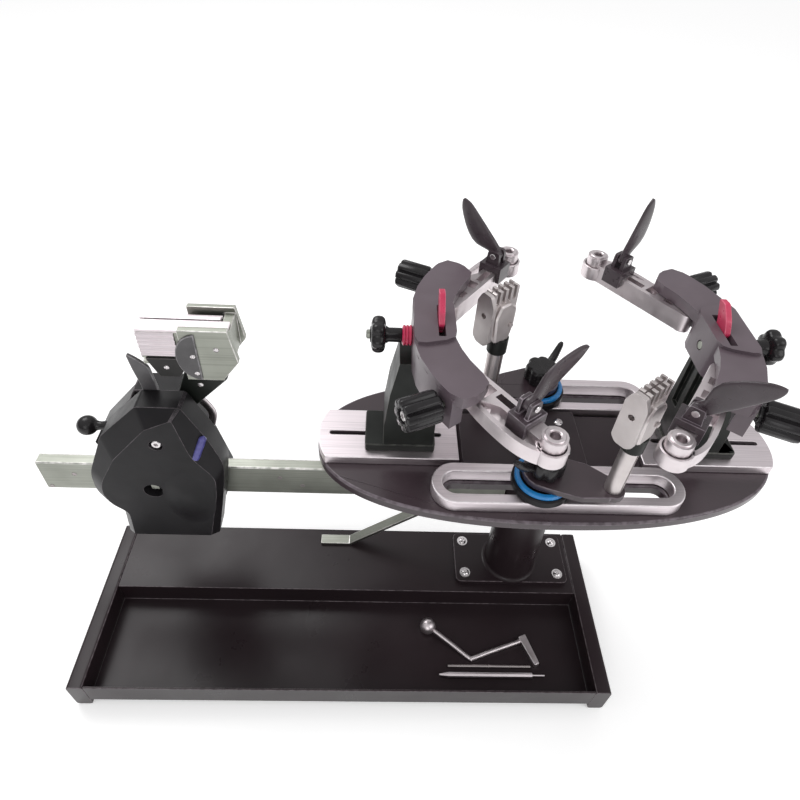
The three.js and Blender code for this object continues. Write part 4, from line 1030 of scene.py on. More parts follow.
@dataclass
class TensionHead(Section):
    """Covers, crank shaft, brake lever, knob and gripper, set out from the crank axis in X and Z.

    Attributes:
        outline, face, corners: the front cover's rim, its smaller face, and how far each corner is rounded.
        front, shoulder, back: depth of the face, of the shoulder behind it and of the cover's end.
        hollow_from, wall_share: where its hollow starts, and the hollow's share of the outline.
        overrun, crank_overrun: how far cutting forms run past what they cut.
        crank_hole, bolt, bolt_hole, bolt_depth, bolt_head: the crank's hole, and the bolt with its recess.
        bulge_at, bulge, bulge_sink: place, half sizes, rise and depth of the mound at the lower right.
        cover_edges: how its edges are rounded.
        strip_low, strip_high, strip_radius, strip_end: the violet strip, and how squarely it ends.
        knob_at, knob_radius, knob_neck, knob_opening, knob_screw: the tension knob.
        arm_front, arm_back, arm_boss, arm_pivot, arm_eye, arm_edge, arm_corners, arm_screw: the plate of the
            gripper arm.
        tail, tail_sizes, tail_depth, tail_flat, loop, loop_at: the silver tail behind it, and its end loop.
        jaw_left, jaw_right, jaw_front, jaw_back, jaw_top, top_plate: the gripper's jaw plates.
        teeth_x, teeth_z, tooth, tooth_sink: the toothed face: its reach along and up, its teeth, and how deep
            they sit.
        lower, lower_out, lower_back: the block below the jaw.
        cheek_front, hinge_at, hinge_size, hinge_out, hinge_in: the half-round hinge plate on the cheek.
        hinge_screws, cheek_screw, lower_screw, screw_radius: the gripper's screws.
        corner: how far the corners of its plates are rounded.
    """

    outline: Outline = (
        (-43.5, -79.5), (47.4, -79.5), (62.7, -3.7), (67.8, 31.4), (58.9, 64.7), (42.2, 104.5),
        (5.1, 104.5), (-33.3, 66.6), (-57.0, 13.9), (-58.2, -11.1), (-52.5, -27.7), (-39.7, -40.7))
    face: Outline = (
        (-35.0, -73.5), (41.5, -73.5), (57.5, -4.0), (60.0, 21.0), (43.0, 49.0), (35.5, 97.0),
        (10.3, 84.5), (-25.4, 44.4), (-46.0, 9.0), (-48.5, -9.5), (-44.0, -23.0), (-31.5, -36.0))
    corners: tuple[float, ...] = (2.0, 2.0, 10.0, 10.0, 10.0, 3.0, 2.0, 3.0, 10.0, 7.0, 7.0, 7.0)
    front: float = 12.0
    shoulder: float = 20.0
    back: float = 40.7
    hollow_from: float = 21.0
    wall_share: float = 0.91
    overrun: float = 2.0
    cover_edges: Edges = Edges(1.3, 3, 11.0)
    crank_hole: float = 9.0
    crank_overrun: float = 1.0
    bolt: tuple[float, float] = (16.0, 65.0)
    bolt_hole: float = 6.0
    bolt_depth: float = 5.0
    bolt_head: tuple[float, float] = (4.4, 0.9)
    bulge_at: tuple[float, float] = (31.0, -12.0)
    bulge: tuple[float, float, float] = (24.0, 40.0, 3.4)
    bulge_sink: float = 0.05
    strip_low: Point = (45.6, 13.4, 45.0)
    strip_high: Point = (56.6, 19.0, 71.5)
    strip_radius: float = 3.4
    strip_end: float = 12.0
    knob_at: Point = (-64.0, 55.0, 41.0)
    knob_radius: float = 9.5
    knob_neck: Outline = ((4.9, 8.6), (4.2, 11.0), (4.1, 13.5), (4.7, 16.5), (5.6, 19.0), (0.0, 19.0))
    knob_opening: float = 0.62
    knob_screw: tuple[float, float, float] = (3.0, 19.0, 50.0)
    arm_front: float = 47.0
    arm_back: float = 57.0
    arm_boss: float = 9.0
    arm_pivot: tuple[float, float] = (30.0, 18.0)
    arm_eye: float = 3.4
    arm_edge: Outline = ((41.0, 76.0), (78.0, 114.0), (78.0, 123.0), (43.0, 123.0), (25.0, 76.0))
    arm_corners: tuple[float, ...] = (6.0, 3.0, 3.0, 3.0, 8.0)
    arm_screw: tuple[float, float, float] = (53.5, 106.0, 2.6)
    tail: Outline = ((40.0, 86.0), (48.0, 78.5), (54.5, 64.0), (52.5, 50.0), (49.5, 40.5))
    tail_sizes: Outline = ((0.0, 3.2), (0.3, 4.4), (0.75, 3.4), (1.0, 2.4))
    tail_depth: float = 1.6
    tail_flat: float = 0.36
    loop: Outline = ((3.0, -1.4), (5.4, -1.4), (6.0, 0.0), (5.4, 1.4), (3.0, 1.4))
    loop_at: tuple[float, float] = (47.5, 38.5)
    jaw_left: float = 15.0
    jaw_right: float = 87.0
    jaw_front: float = 39.0
    jaw_back: float = 52.2
    jaw_top: float = 170.0
    top_plate: tuple[float, float] = (-0.2, 2.2)
    teeth_x: tuple[float, float] = (0.6, 45.0)
    teeth_z: tuple[float, float] = (145.0, 169.6)
    tooth: tuple[float, float, float] = (1.5, 4.1, 1.0)
    tooth_sink: float = 0.4
    lower: Outline = ((26.0, 124.3), (43.0, 124.3), (50.0, 137.0), (50.0, 144.0), (18.0, 144.0))
    lower_out: float = 2.2
    lower_back: float = 51.0
    cheek_front: float = 35.0
    hinge_at: tuple[float, float] = (62.0, 148.0)
    hinge_size: tuple[float, float] = (18.0, 23.5)
    hinge_out: float = 1.6
    hinge_in: float = 5.0
    hinge_screws: Outline = ((58.0, 150.0), (58.5, 132.0))
    cheek_screw: tuple[float, float] = (77.0, 156.5)
    lower_screw: tuple[float, float] = (33.5, 134.5)
    screw_radius: float = 2.3
    corner: float = 1.5

    def build(self) -> None:
        """Makes the section's pieces."""
        self._front_cover()
        self.shop.refine("head_rear_cover", Coat.BLACK_PLASTIC, 1.6, 3)
        self.shop.refine("head_carriage", Coat.CARRIAGE_CAST, 0.4)
        self.shop.refine("crank_shaft", Coat.STEEL, 0.4)
        self.shop.refine("brake_lever", Coat.LEVER, 0.7, 3)
        self._knob()
        self._arm()
        self._gripper()

    def _front_cover(self) -> None:
        """Makes the moulded cover.

        Its skin runs from the back outline over the shoulder to the face, so that each side of the face is a
        facet of its own width, and a mound swells at its lower right.
        """
        outer, face = rounded(self.outline, self.corners), rounded(self.face, self.corners)
        levels = ((outer, self.back), (outer, self.shoulder), (face, self.front))
        skin = loft(np.stack([lifted(line, depth) for line, depth in levels])).moved(UPRIGHT)
        middle = outer.mean(axis=0)
        hollow = middle + (outer - middle) * self.wall_share
        inside = plate(hollow, self.hollow_from, self.back + self.overrun)
        crank = disc(self.crank_hole, -self.back - self.crank_overrun, 0).moved(TO_FRONT)
        x, z = self.bolt
        bolt = disc(self.bolt_hole, -self.front - self.bolt_depth, 0, 32).moved(shift(x, 0, z) @ TO_FRONT)
        node = "head_front_cover"
        self.shop.add(f"{node}_shell", node, Coat.BLACK_PLASTIC, skin, HEAD, inside + crank + bolt,
                      self.cover_edges, True)
        across, up = self.bulge_at
        mound = dome(*self.bulge).moved(shift(across, self.front + self.bulge_sink, up))
        self.shop.add(f"{node}_mound", node, Coat.BLACK_PLASTIC, mound, HEAD)
        recess = self.facing(HEAD, x, self.front + self.bolt_depth, z)
        radius, rise = self.bolt_head
        self.screws(f"{node}_bolt", node, [recess], radius, socket_screw, Coat.BRIGHT, rise)
        strip = curve([self.strip_low, self.strip_high], 12)
        share = np.linspace(-1.0, 1.0, len(strip))
        radii = self.strip_radius * np.sqrt(np.maximum(1 - share**self.strip_end, 0.02))
        self.shop.add(f"{node}_strip", node, Coat.VIOLET, tube(strip, radii, 20), HEAD)

    def _knob(self) -> None:
        """Makes the tension knob: a ball that runs down to a waisted neck, turned about X, and its screw."""
        r = self.knob_radius
        angle = np.linspace(HALF_TURN, self.knob_opening, 14)
        ball = list(zip(r * np.sin(angle), r * np.cos(angle)))
        at = HEAD @ shift(*self.knob_at) @ TO_X
        node = "tension_knob"
        grip = lathe([*ball, *self.knob_neck])
        self.shop.add(f"{node}_ball", node, Coat.KNOB_PLASTIC, grip, at, replaces=True)
        self.shop.add(f"{node}_screw", node, Coat.STEEL, disc(*self.knob_screw, 20, 0.5), at)

    def _arm(self) -> None:
        """Makes the arm's plate, round at its pivot, with its screw, and the silver tail with its loop."""
        node, (x, z) = "gripper_arm", self.arm_pivot
        front, back, over = self.arm_front, self.arm_back, self.overrun
        angle = np.linspace(HALF_TURN, FULL_TURN, 24)
        foot = np.column_stack([x + self.arm_boss * np.cos(angle), z + self.arm_boss * np.sin(angle)])
        outline = np.vstack([foot, rounded(self.arm_edge, self.arm_corners)])
        eye = disc(self.arm_eye, -back - over, over - front, 24).moved(shift(x, 0, z) @ TO_FRONT)
        self.shop.add(f"{node}_plate", node, Coat.ARM_PLATE, plate(outline, front, back), HEAD, eye,
                      Edges(0.8, 3), True)
        screw_x, screw_z, radius = self.arm_screw
        self.screws(f"{node}_screw", node, [self.facing(HEAD, screw_x, front, screw_z)], radius)
        depth = back - self.tail_depth
        line = curve([(px, depth, pz) for px, pz in self.tail], 8)
        radii = np.interp(np.linspace(0, 1, len(line)), *zip(*self.tail_sizes))
        flatten = shift(0, depth, 0) @ Matrix.Scale(self.tail_flat, 4, (0, 1, 0)) @ shift(0, -depth, 0)
        strap = tube(line, radii, 20, (0.0, 1.0, 0.0)).moved(flatten)
        loop_x, loop_z = self.loop_at
        loop = lathe(self.loop, 32, True).moved(shift(loop_x, depth, loop_z) @ TO_FRONT)
        self.shop.add(f"{node}_tail", node, Coat.CAST_ALUMINIUM, strap + loop, HEAD)

    def _gripper(self) -> None:
        """Dresses the gripper: jaw plates, toothed face, lower block, hinge plate and screws."""
        node = "gripper_block"
        self.shop.refine(node, Coat.STEEL, 0.9, 3)
        self.shop.refine("gripper_jaw", Coat.ALUMINIUM, 0.5)
        left, right, front, back = self.jaw_left, self.jaw_right, self.jaw_front, self.jaw_back
        low, high = (self.jaw_top + step for step in self.top_plate)
        corners = [(left, front), (right, front), (right, back), (left, back)]
        plates = prism(rounded(corners, self.corner), low, high)
        self.shop.add("gripper_top_plate", node, Coat.ALUMINIUM, plates, HEAD, edges=Edges(0.5))
        inset, teeth_right = self.teeth_x
        face = toothed((left + inset, teeth_right), self.teeth_z, *self.tooth).moved(
            shift(0, front + self.tooth_sink, 0))
        self.shop.add("gripper_face_teeth", node, Coat.ALUMINIUM, face, HEAD, edges=Edges(0.15, 1))
        lower_front = front - self.lower_out
        lower = plate(rounded(self.lower, self.corner), lower_front, self.lower_back)
        self.shop.add("gripper_lower_block", node, Coat.CARRIAGE_CAST, lower, HEAD, edges=Edges(0.7))
        angle = np.linspace(QUARTER, HALF_TURN * 1.5, 32)
        (x, z), (half_x, half_z) = self.hinge_at, self.hinge_size
        half = np.column_stack([x + half_x * np.cos(angle), z + half_z * np.sin(angle)])
        hinge_front = self.cheek_front - self.hinge_out
        hinge = plate(half, hinge_front, self.cheek_front + self.hinge_in)
        self.shop.add("gripper_hinge_plate", node, Coat.LEVER, hinge, HEAD, edges=Edges(1.0, 3, 30.0))
        spots = [(hinge_front, spot) for spot in self.hinge_screws]
        spots += [(self.cheek_front, self.cheek_screw), (lower_front, self.lower_screw)]
        places = [self.facing(HEAD, x, y, z) for y, (x, z) in spots]
        self.screws("gripper_screws", node, places, self.screw_radius)


@dataclass
class Turntable(Section):
    """Oval plate, bands, glide bars and hub, heights counted from the bands' top.

    Attributes:
        half_length, half_width, exponent: the oval, and how square it is.
        plate_low, plate_top: its heights.
        plate_slot, plate_cut: length and width of the slots in it, and the reach of their cutting form.
        glide_y: how far the glide bars lie from the middle.
        glide, glide_slot, glide_cut: length and width of a bar and of its slot, and the reach of its cutting
            form.
        glide_low, glide_top: a bar's heights.
        hub_screw, hub_screw_radius, hub_twist: the hub's screws: place, radius, and the turn that sets each
            one apart.
    """

    half_length: float = 220.0
    half_width: float = 90.5
    exponent: float = 2.3
    plate_low: float = -21.0
    plate_top: float = -10.0
    plate_slot: tuple[float, float] = (204.0, 19.0)
    plate_cut: tuple[float, float] = (-30.0, 0.0)
    glide_cut: tuple[float, float] = (-20.0, 20.0)
    glide_y: float = 58.0
    glide: tuple[float, float] = (229.0, 44.0)
    glide_slot: tuple[float, float] = (209.0, 24.0)
    glide_low: float = -9.7
    glide_top: float = 4.0
    hub_screw: tuple[float, float, float] = (14.5, 18.9, 2.0)
    hub_screw_radius: float = 4.8
    hub_twist: float = 17.0

    def build(self) -> None:
        """Makes the section's pieces."""
        slots = [obround(*self.plate_slot, side * self.glide_y) for side in (-1, 1)]
        cutter = together([prism(slot, *self.plate_cut) for slot in slots])
        outline = superellipse(self.half_length, self.half_width, self.exponent)
        oval = prism(outline, self.plate_low, self.plate_top)
        self.shop.add("plate_smooth", "turntable_plate", Coat.TABLE_PAINT, oval, TABLE, cutter,
                      Edges(2.2, 4, 50.0), True)
        self.shop.refine("turntable_spindle", Coat.STEEL, 0.5)
        self.shop.refine("centre_cover", Coat.COVER_PAINT, 0.6)
        for side in Side:
            self.shop.refine(f"slide_band_{side.value}", Coat.ALUMINIUM, 0.4)
        for end, way in ((End.FRONT, -1), (End.BACK, 1)):
            self._glide(end, way)
        x, y, z = self.hub_screw
        places = [TABLE @ shift(a, b, z) @ turn(self.hub_twist * a + b) for a in (-x, x) for b in (-y, y)]
        self.screws("hub_screws", "centre_cover", places, self.hub_screw_radius)

    def _glide(self, end: End, way: int) -> None:
        """Makes a glide bar, an obround plate with an obround hole.

        Args:
            end: front or back.
            way: -1 to the front, 1 to the back.
        """
        name, y = f"glide_bar_{end.value}", way * self.glide_y
        bar = prism(obround(*self.glide, y, 32), self.glide_low, self.glide_top)
        hole = prism(obround(*self.glide_slot, y, 24), *self.glide_cut)
        self.shop.add(f"{name}_smooth", name, Coat.ALUMINIUM, bar, TABLE, hole, Edges(1.3, 3, 40.0), True)


# How far each finger leans out from upright, in degrees, and the one finger whose fuller edge faces inwards.
LEAN = {(End.FRONT, Side.LEFT): -68.0, (End.BACK, Side.LEFT): 38.0,
        (End.FRONT, Side.RIGHT): 50.0, (End.BACK, Side.RIGHT): 10.0}
BELLY_INWARD = (End.FRONT, Side.RIGHT)


@dataclass
class Tower(Section):
    """One tower with its yoke, screw, knobs, arms and fingers, set out from the turntable's axis.

    Attributes:
        side: which tower.
        axis: height of the support screw and of the knobs.
        rod_radius, rod_from, rod_tip: the support screw's rod, and its tip beyond the knob.
        collar, collar_rows, collar_lip, ridge: its red collar: start, end and radius, ridges, and one ridge's
            shape.
        hub_radius, hub_flare, hub_sink: the neck between collar and knob.
        star, star_grooves, star_face, star_power, star_cap: the star knob: start, end and radius, its
            grooves, the share of its faces, the power of its round edge, and its cap.
        knob_radius, knob_length, knob_from, knob_grooves, knob_foot, knob_end: an arm knob's grip.
        knob_collar, knob_stud, knob_cap: its collar, its stud and the screw in its end.
        knob_reach, knob_around, knob_turn: its place round the turntable's axis, and its lean.
        pivot, arm_turn, arm_length, arm_top, arm_ring: a side arm's pivot, turn and length, and the ring at
            its tip.
        shoe_along, finger_height: where the finger's pin lies.
        rail, rail_half, rail_low, rail_high: middle line, half width and heights of the arm's outer rail.
        rib_lines, rib_across, rib_width, rib_sink, rib_corner: the ribs between arm and rail.
        tip_flange, tip_inner, tip_wall, tip_floor: the dish at the arm's tip.
        leaf_left, leaf_right, leaf_thick: height and size tables of the finger's blade.
        leaf_round, leaf_height, leaf_powers: its round tip, its height, and how square a row across it is.
        knuckle, pin_head: bore, radius and half width of its knuckle, and the ends of its pin.
        at: the tower's frame, its X outwards.
    """

    side: Side
    axis: float = 122.0
    rod_radius: float = 4.0
    rod_from: float = 104.0
    rod_tip: tuple[float, float] = (3.8, 175.3)
    collar: tuple[float, float, float] = (137.8, 145.8, 8.5)
    collar_rows: int = 3
    collar_lip: float = 1.2
    ridge: Outline = ((0.0, 0.9), (0.12, 0.35), (0.3, 0.0), (0.62, 0.0), (0.8, 0.35), (0.88, 0.9))
    hub_radius: float = 6.0
    hub_flare: tuple[float, float] = (1.8, 2.5)
    hub_sink: float = 0.6
    star: tuple[float, float, float] = (159.3, 171.3, 15.4)
    star_grooves: tuple[float, int, float, int] = (2.5, 6, 1.3, 16)
    star_face: float = 0.62
    star_power: float = 2.6
    star_cap: Outline = ((0.0, -0.4), (6.4, -0.4), (6.8, 0.3), (6.2, 0.9), (0.0, 1.1))
    knob_radius: float = 13.1
    knob_length: float = 29.0
    knob_from: float = 3.0
    knob_grooves: tuple[float, int, float, int] = (2.6, 8, 3.4, 14)
    knob_foot: Outline = ((0.84, 0.0), (0.95, 0.7), (1.0, 2.2))
    knob_end: Outline = (
        (1.0, -2.2), (0.96, -0.7), (0.88, 0.0), (0.56, 0.0), (0.53, -0.5), (0.52, -3.0), (0.0, -3.0))
    knob_collar: tuple[float, float] = (3.0, 6.6)
    knob_stud: tuple[float, float] = (3.0, -18.0)
    knob_cap: tuple[float, float] = (4.2, -3.1)
    knob_reach: float = 141.8
    knob_around: float = 33.5
    knob_turn: float = 25.0
    pivot: tuple[float, float] = (104.0, 37.0)
    arm_turn: float = 127.2
    arm_length: float = 100.0
    arm_top: float = 134.0
    arm_ring: Outline = ((4.2, -0.2), (7.6, -0.2), (7.6, 0.7), (7.0, 1.2), (4.9, 1.2), (4.2, 0.7))
    shoe_along: float = 74.0
    finger_height: float = 143.3
    rail: Outline = (
        (26.0, 13.0), (40.0, 15.6), (56.0, 17.0), (72.0, 17.2), (84.0, 16.0), (93.0, 13.4), (99.0, 10.4))
    rail_half: float = 1.9
    rail_low: float = 111.7
    rail_high: float = 125.0
    rib_lines: Outline = ((36.0, 43.0), (50.0, 43.0))
    rib_across: tuple[float, float] = (6.0, 16.0)
    rib_width: float = 2.6
    rib_sink: float = 2.0
    rib_corner: float = 0.5
    tip_flange: float = 12.2
    tip_inner: float = 9.0
    tip_wall: float = 2.2
    tip_floor: float = 5.0
    leaf_left: tuple[tuple[float, ...], tuple[float, ...]] = (
        (0, 6, 12, 18, 27, 36, 45, 52, 58), (-5.4, -5.7, -5.2, -4.2, -2.8, -1.2, 0.4, 1.8, 3.2))
    leaf_right: tuple[tuple[float, ...], tuple[float, ...]] = (
        (0, 6, 10, 15, 21, 28, 36, 44, 51, 55, 58),
        (5.4, 6.4, 10.5, 15.4, 17.8, 18.4, 17.6, 15.6, 13.4, 12.0, 10.8))
    leaf_thick: tuple[tuple[float, ...], tuple[float, ...]] = ((0, 20, 45, 58), (2.6, 2.7, 2.2, 1.3))
    leaf_round: float = 9.0
    leaf_height: float = 57.8
    leaf_powers: tuple[float, float] = (0.85, 0.75)
    knuckle: tuple[float, float, float] = (2.5, 5.5, 2.5)
    pin_head: tuple[float, float, float] = (2.9, 6.5, 7.6)
    at: Matrix = field(init=False)

    def build(self) -> None:
        """Makes the section's pieces."""
        name = self.side.value
        right = self.side is Side.RIGHT
        self.at = TABLE @ turn(0 if right else 180)
        self.shop.refine(f"tower_{name}", Coat.POST_PAINT, 0.9, 3)
        self.shop.refine(f"yoke_{name}", Coat.YOKE_PAINT, 1.2, 3)
        self.shop.refine(f"lock_fin_{name}", Coat.RED_PLASTIC, 0.8, 3)
        self._screw()
        for end in End:
            way = 1 if (end is End.BACK) == right else -1
            self._knob(end, way)
            self._arm(end, way)
            self._finger(end, way)

    def _screw(self) -> None:
        """Makes the support screw: a ridged collar, a rod, and a star knob with a rounded edge."""
        node = f"support_screw_{self.side.value}"
        at = self.at @ shift(0, 0, self.axis) @ TO_X
        rod, (start, end, rim) = self.rod_radius, self.collar
        pitch = (end - start) / self.collar_rows
        ridges = [(rim - less, start + pitch * (row + share))
                  for row in range(self.collar_rows) for share, less in self.ridge]
        collar = lathe([(rod, start), *ridges, (rim - self.collar_lip, end), (rod, end)])
        self.shop.add(f"{node}_collar", node, Coat.RED_PLASTIC, collar, at)
        (low, high, reach), (tip_radius, tip) = self.star, self.rod_tip
        rods = disc(rod, self.rod_from, start + 0.2, 24, 0.6) + disc(tip_radius, high - 1, tip, 24, 0.8)
        self.shop.add(f"{node}_rod", node, Coat.STEEL, rods, at)
        middle, half = (low + high) / 2, (high - low) / 2
        lean = np.linspace(-1.0, 1.0, 13)
        lens = self.star_face + (1 - self.star_face) * (1 - np.abs(lean) ** self.star_power) ** 0.5
        star = stacked(grooved(reach, *self.star_grooves), list(zip(lens, middle + half * lean)))
        r, (flare, neck), foot = self.hub_radius, self.hub_flare, low + self.hub_sink
        hub = lathe([(rod, end), (r - 0.4, end), (r, end + 0.6), (r, low - neck), (r + flare, foot),
                     (rod, foot)])
        cap = lathe([(radius, high + step) for radius, step in self.star_cap], 40)
        self.shop.add(f"{node}_knob", node, Coat.KNOB_PLASTIC, star + hub + cap, at, replaces=True)

    def _knob(self, end: End, way: int) -> None:
        """Makes an arm knob: a grip with deep narrow grooves and a hollow end, its collar, stud and screw.

        Args:
            end: front or back.
            way: the sign of its place along Y in the tower's frame.
        """
        node = f"arm_knob_{end.value}_{self.side.value}"
        around, reach = math.radians(self.knob_around), self.knob_reach
        spot = shift(reach * math.cos(around), way * reach * math.sin(around), self.axis)
        at = self.at @ spot @ turn(way * self.knob_turn) @ TO_X
        start, high = self.knob_from, self.knob_from + self.knob_length
        levels = [(share, start + step) for share, step in self.knob_foot]
        levels += [(share, high + step) for share, step in self.knob_end]
        body = stacked(grooved(self.knob_radius, *self.knob_grooves), levels)
        bore, rim = self.knob_collar
        foot = start + 0.4
        collar = lathe([(bore, 0.3), (rim - 0.4, 0.3), (rim, 0.8), (rim, foot), (bore, foot)], 40)
        self.shop.add(f"{node}_grip", node, Coat.KNOB_PLASTIC, body + collar, at, replaces=True)
        stud, low = self.knob_stud
        self.shop.add(f"{node}_stud", node, Coat.STEEL, disc(stud, low, start + 0.2, 20, 0.4), at)
        radius, seat = self.knob_cap
        self.screws(f"{node}_cap", node, [at @ shift(0, 0, high + seat)], radius, socket_screw)

    def _arm_frame(self, way: int) -> Matrix:
        """Returns the place of an arm's pivot, its X along the arm."""
        return self.at @ shift(self.pivot[0], way * self.pivot[1], 0) @ turn(way * self.arm_turn)

    def _arm(self, end: End, way: int) -> None:
        """Dresses a side arm, a ring round the hole in its tip, its outer rail and its shoe.

        Args:
            end: front or back.
            way: the sign of its place along Y in the tower's frame.
        """
        name = f"{end.value}_{self.side.value}"
        node, at = f"side_arm_{name}", self._arm_frame(way)
        self.shop.refine(node, Coat.CAST_ALUMINIUM, 0.9, 3)
        tip = shift(self.arm_length, 0, 0)
        ring = lathe([(radius, self.arm_top + step) for radius, step in self.arm_ring], 36, True).moved(tip)
        self.shop.add(f"{node}_ring", node, Coat.CAST_ALUMINIUM, ring, at)
        frame = self._outer_rail(way) + self._tip_dish().moved(tip) + self._ribs(way)
        self.shop.add(f"{node}_rail", node, Coat.CAST_ALUMINIUM, frame, at, edges=Edges(0.5, 2, 50.0))
        self.shop.refine(f"claw_shoe_{name}", Coat.CLAW_PAINT, 0.6)

    def _outer_rail(self, way: int) -> Form:
        """Makes an arm's outer rail: a smooth line, set off by half its width to both sides, carried up.

        Args:
            way: the sign of the arm's place along Y in the tower's frame.

        Returns:
            The rail.
        """
        line = curve(self.rail, 8)
        across = np.gradient(line, axis=0) @ np.array([(0.0, 1.0), (-1.0, 0.0)])
        across *= self.rail_half / np.linalg.norm(across, axis=1)[:, None]
        band = np.vstack([line + across, (line - across)[::-1]]) * (1.0, -way)
        return prism(band, self.rail_low, self.rail_high)

    def _tip_dish(self) -> Form:
        """Makes the round dish with a rim that the arm's tip ends in, turned about Z.

        Returns:
            The dish.
        """
        low, high, r, bore = self.rail_low, self.rail_high, self.tip_flange, self.tip_inner
        wall, floor = r - self.tip_wall, low + self.tip_floor
        return lathe([(bore, low), (r - 0.8, low), (r, low + 0.8), (r, high - 0.5), (r - 0.5, high),
                      (r - 1.8, high), (wall, high - 0.6), (wall, floor), (bore, floor)], 48, True)

    def _ribs(self, way: int) -> Form:
        """Makes the slanted ribs between an arm and its outer rail.

        Args:
            way: the sign of the arm's place along Y in the tower's frame.

        Returns:
            The ribs.
        """
        near, far = (-way * y for y in self.rib_across)
        wide, low, high = self.rib_width, self.rail_low, self.rail_high - self.rib_sink
        outlines = [[(a, near), (b, far), (b + wide, far), (a + wide, near)] for a, b in self.rib_lines]
        return together([prism(rounded(outline, self.rib_corner), low, high) for outline in outlines])

    def _finger(self, end: End, way: int) -> None:
        """Makes the curved blade that hooks over a frame.

        A row across the blade is a squarish oval between its two edges. The edges and the thickness are
        tables over the height, so the surface is a function of the height and of the angle round the row.
        Over the last part the width follows a quarter circle, which rounds the tip.

        Args:
            end: front or back.
            way: the sign of its place along Y in the tower's frame.
        """
        name, out = f"{end.value}_{self.side.value}", -way
        node = f"claw_finger_{name}"
        pin = self._arm_frame(way) @ shift(self.shoe_along, 0, self.finger_height)
        belly = -1 if (end, self.side) == BELLY_INWARD else 1
        at = pin @ turn(-out * LEAN[(end, self.side)], "X") @ turn(180 if out * belly < 0 else 0)
        heights = self.leaf_height * np.sin(np.linspace(0, QUARTER, 30))
        left, right, thick = (np.interp(heights, *table)[:, None] for table in
                              (self.leaf_left, self.leaf_right, self.leaf_thick))
        over = np.maximum(0.0, heights - self.leaf_height + self.leaf_round)[:, None] / self.leaf_round
        angle = np.linspace(0, FULL_TURN, 40, endpoint=False)
        half = (right - left) / 2 * np.sqrt(np.maximum(1 - over**2, 0.004))
        along, thin = self.leaf_powers
        across = (left + right) / 2 + half * powered(np.cos(angle), along)
        rows = [thick * powered(np.sin(angle), thin), across, heights[:, None] + 0 * angle]
        blade = loft(np.stack(rows, axis=-1))
        bore, r, w = self.knuckle
        profile = [(bore, -w), (r - 0.5, -w), (r, 0.5 - w), (r, w - 0.5), (r - 0.5, w), (bore, w)]
        boss = lathe(profile, 40, True)
        self.shop.add(f"{node}_blade", node, Coat.CLAW_PAINT, blade + boss.moved(TO_X), at,
                      edges=Edges(sharp=50.0), replaces=True)
        radius, near, far = self.pin_head
        ends = disc(radius, -far, -near, 24, 0.4) + disc(radius, near, far, 24, 0.4)
        self.shop.add(f"{node}_pin_ends", f"claw_shoe_{name}", Coat.BRIGHT, ends, pin @ TO_X)


# Each clamp's place along X, its side of the table, and the turns of its arm and its lever in degrees.
CLAMP_PLACES = {End.FRONT: (-17.0, -1, -18.1, 203.0), End.BACK: (-2.0, 1, 200.2, 50.0)}


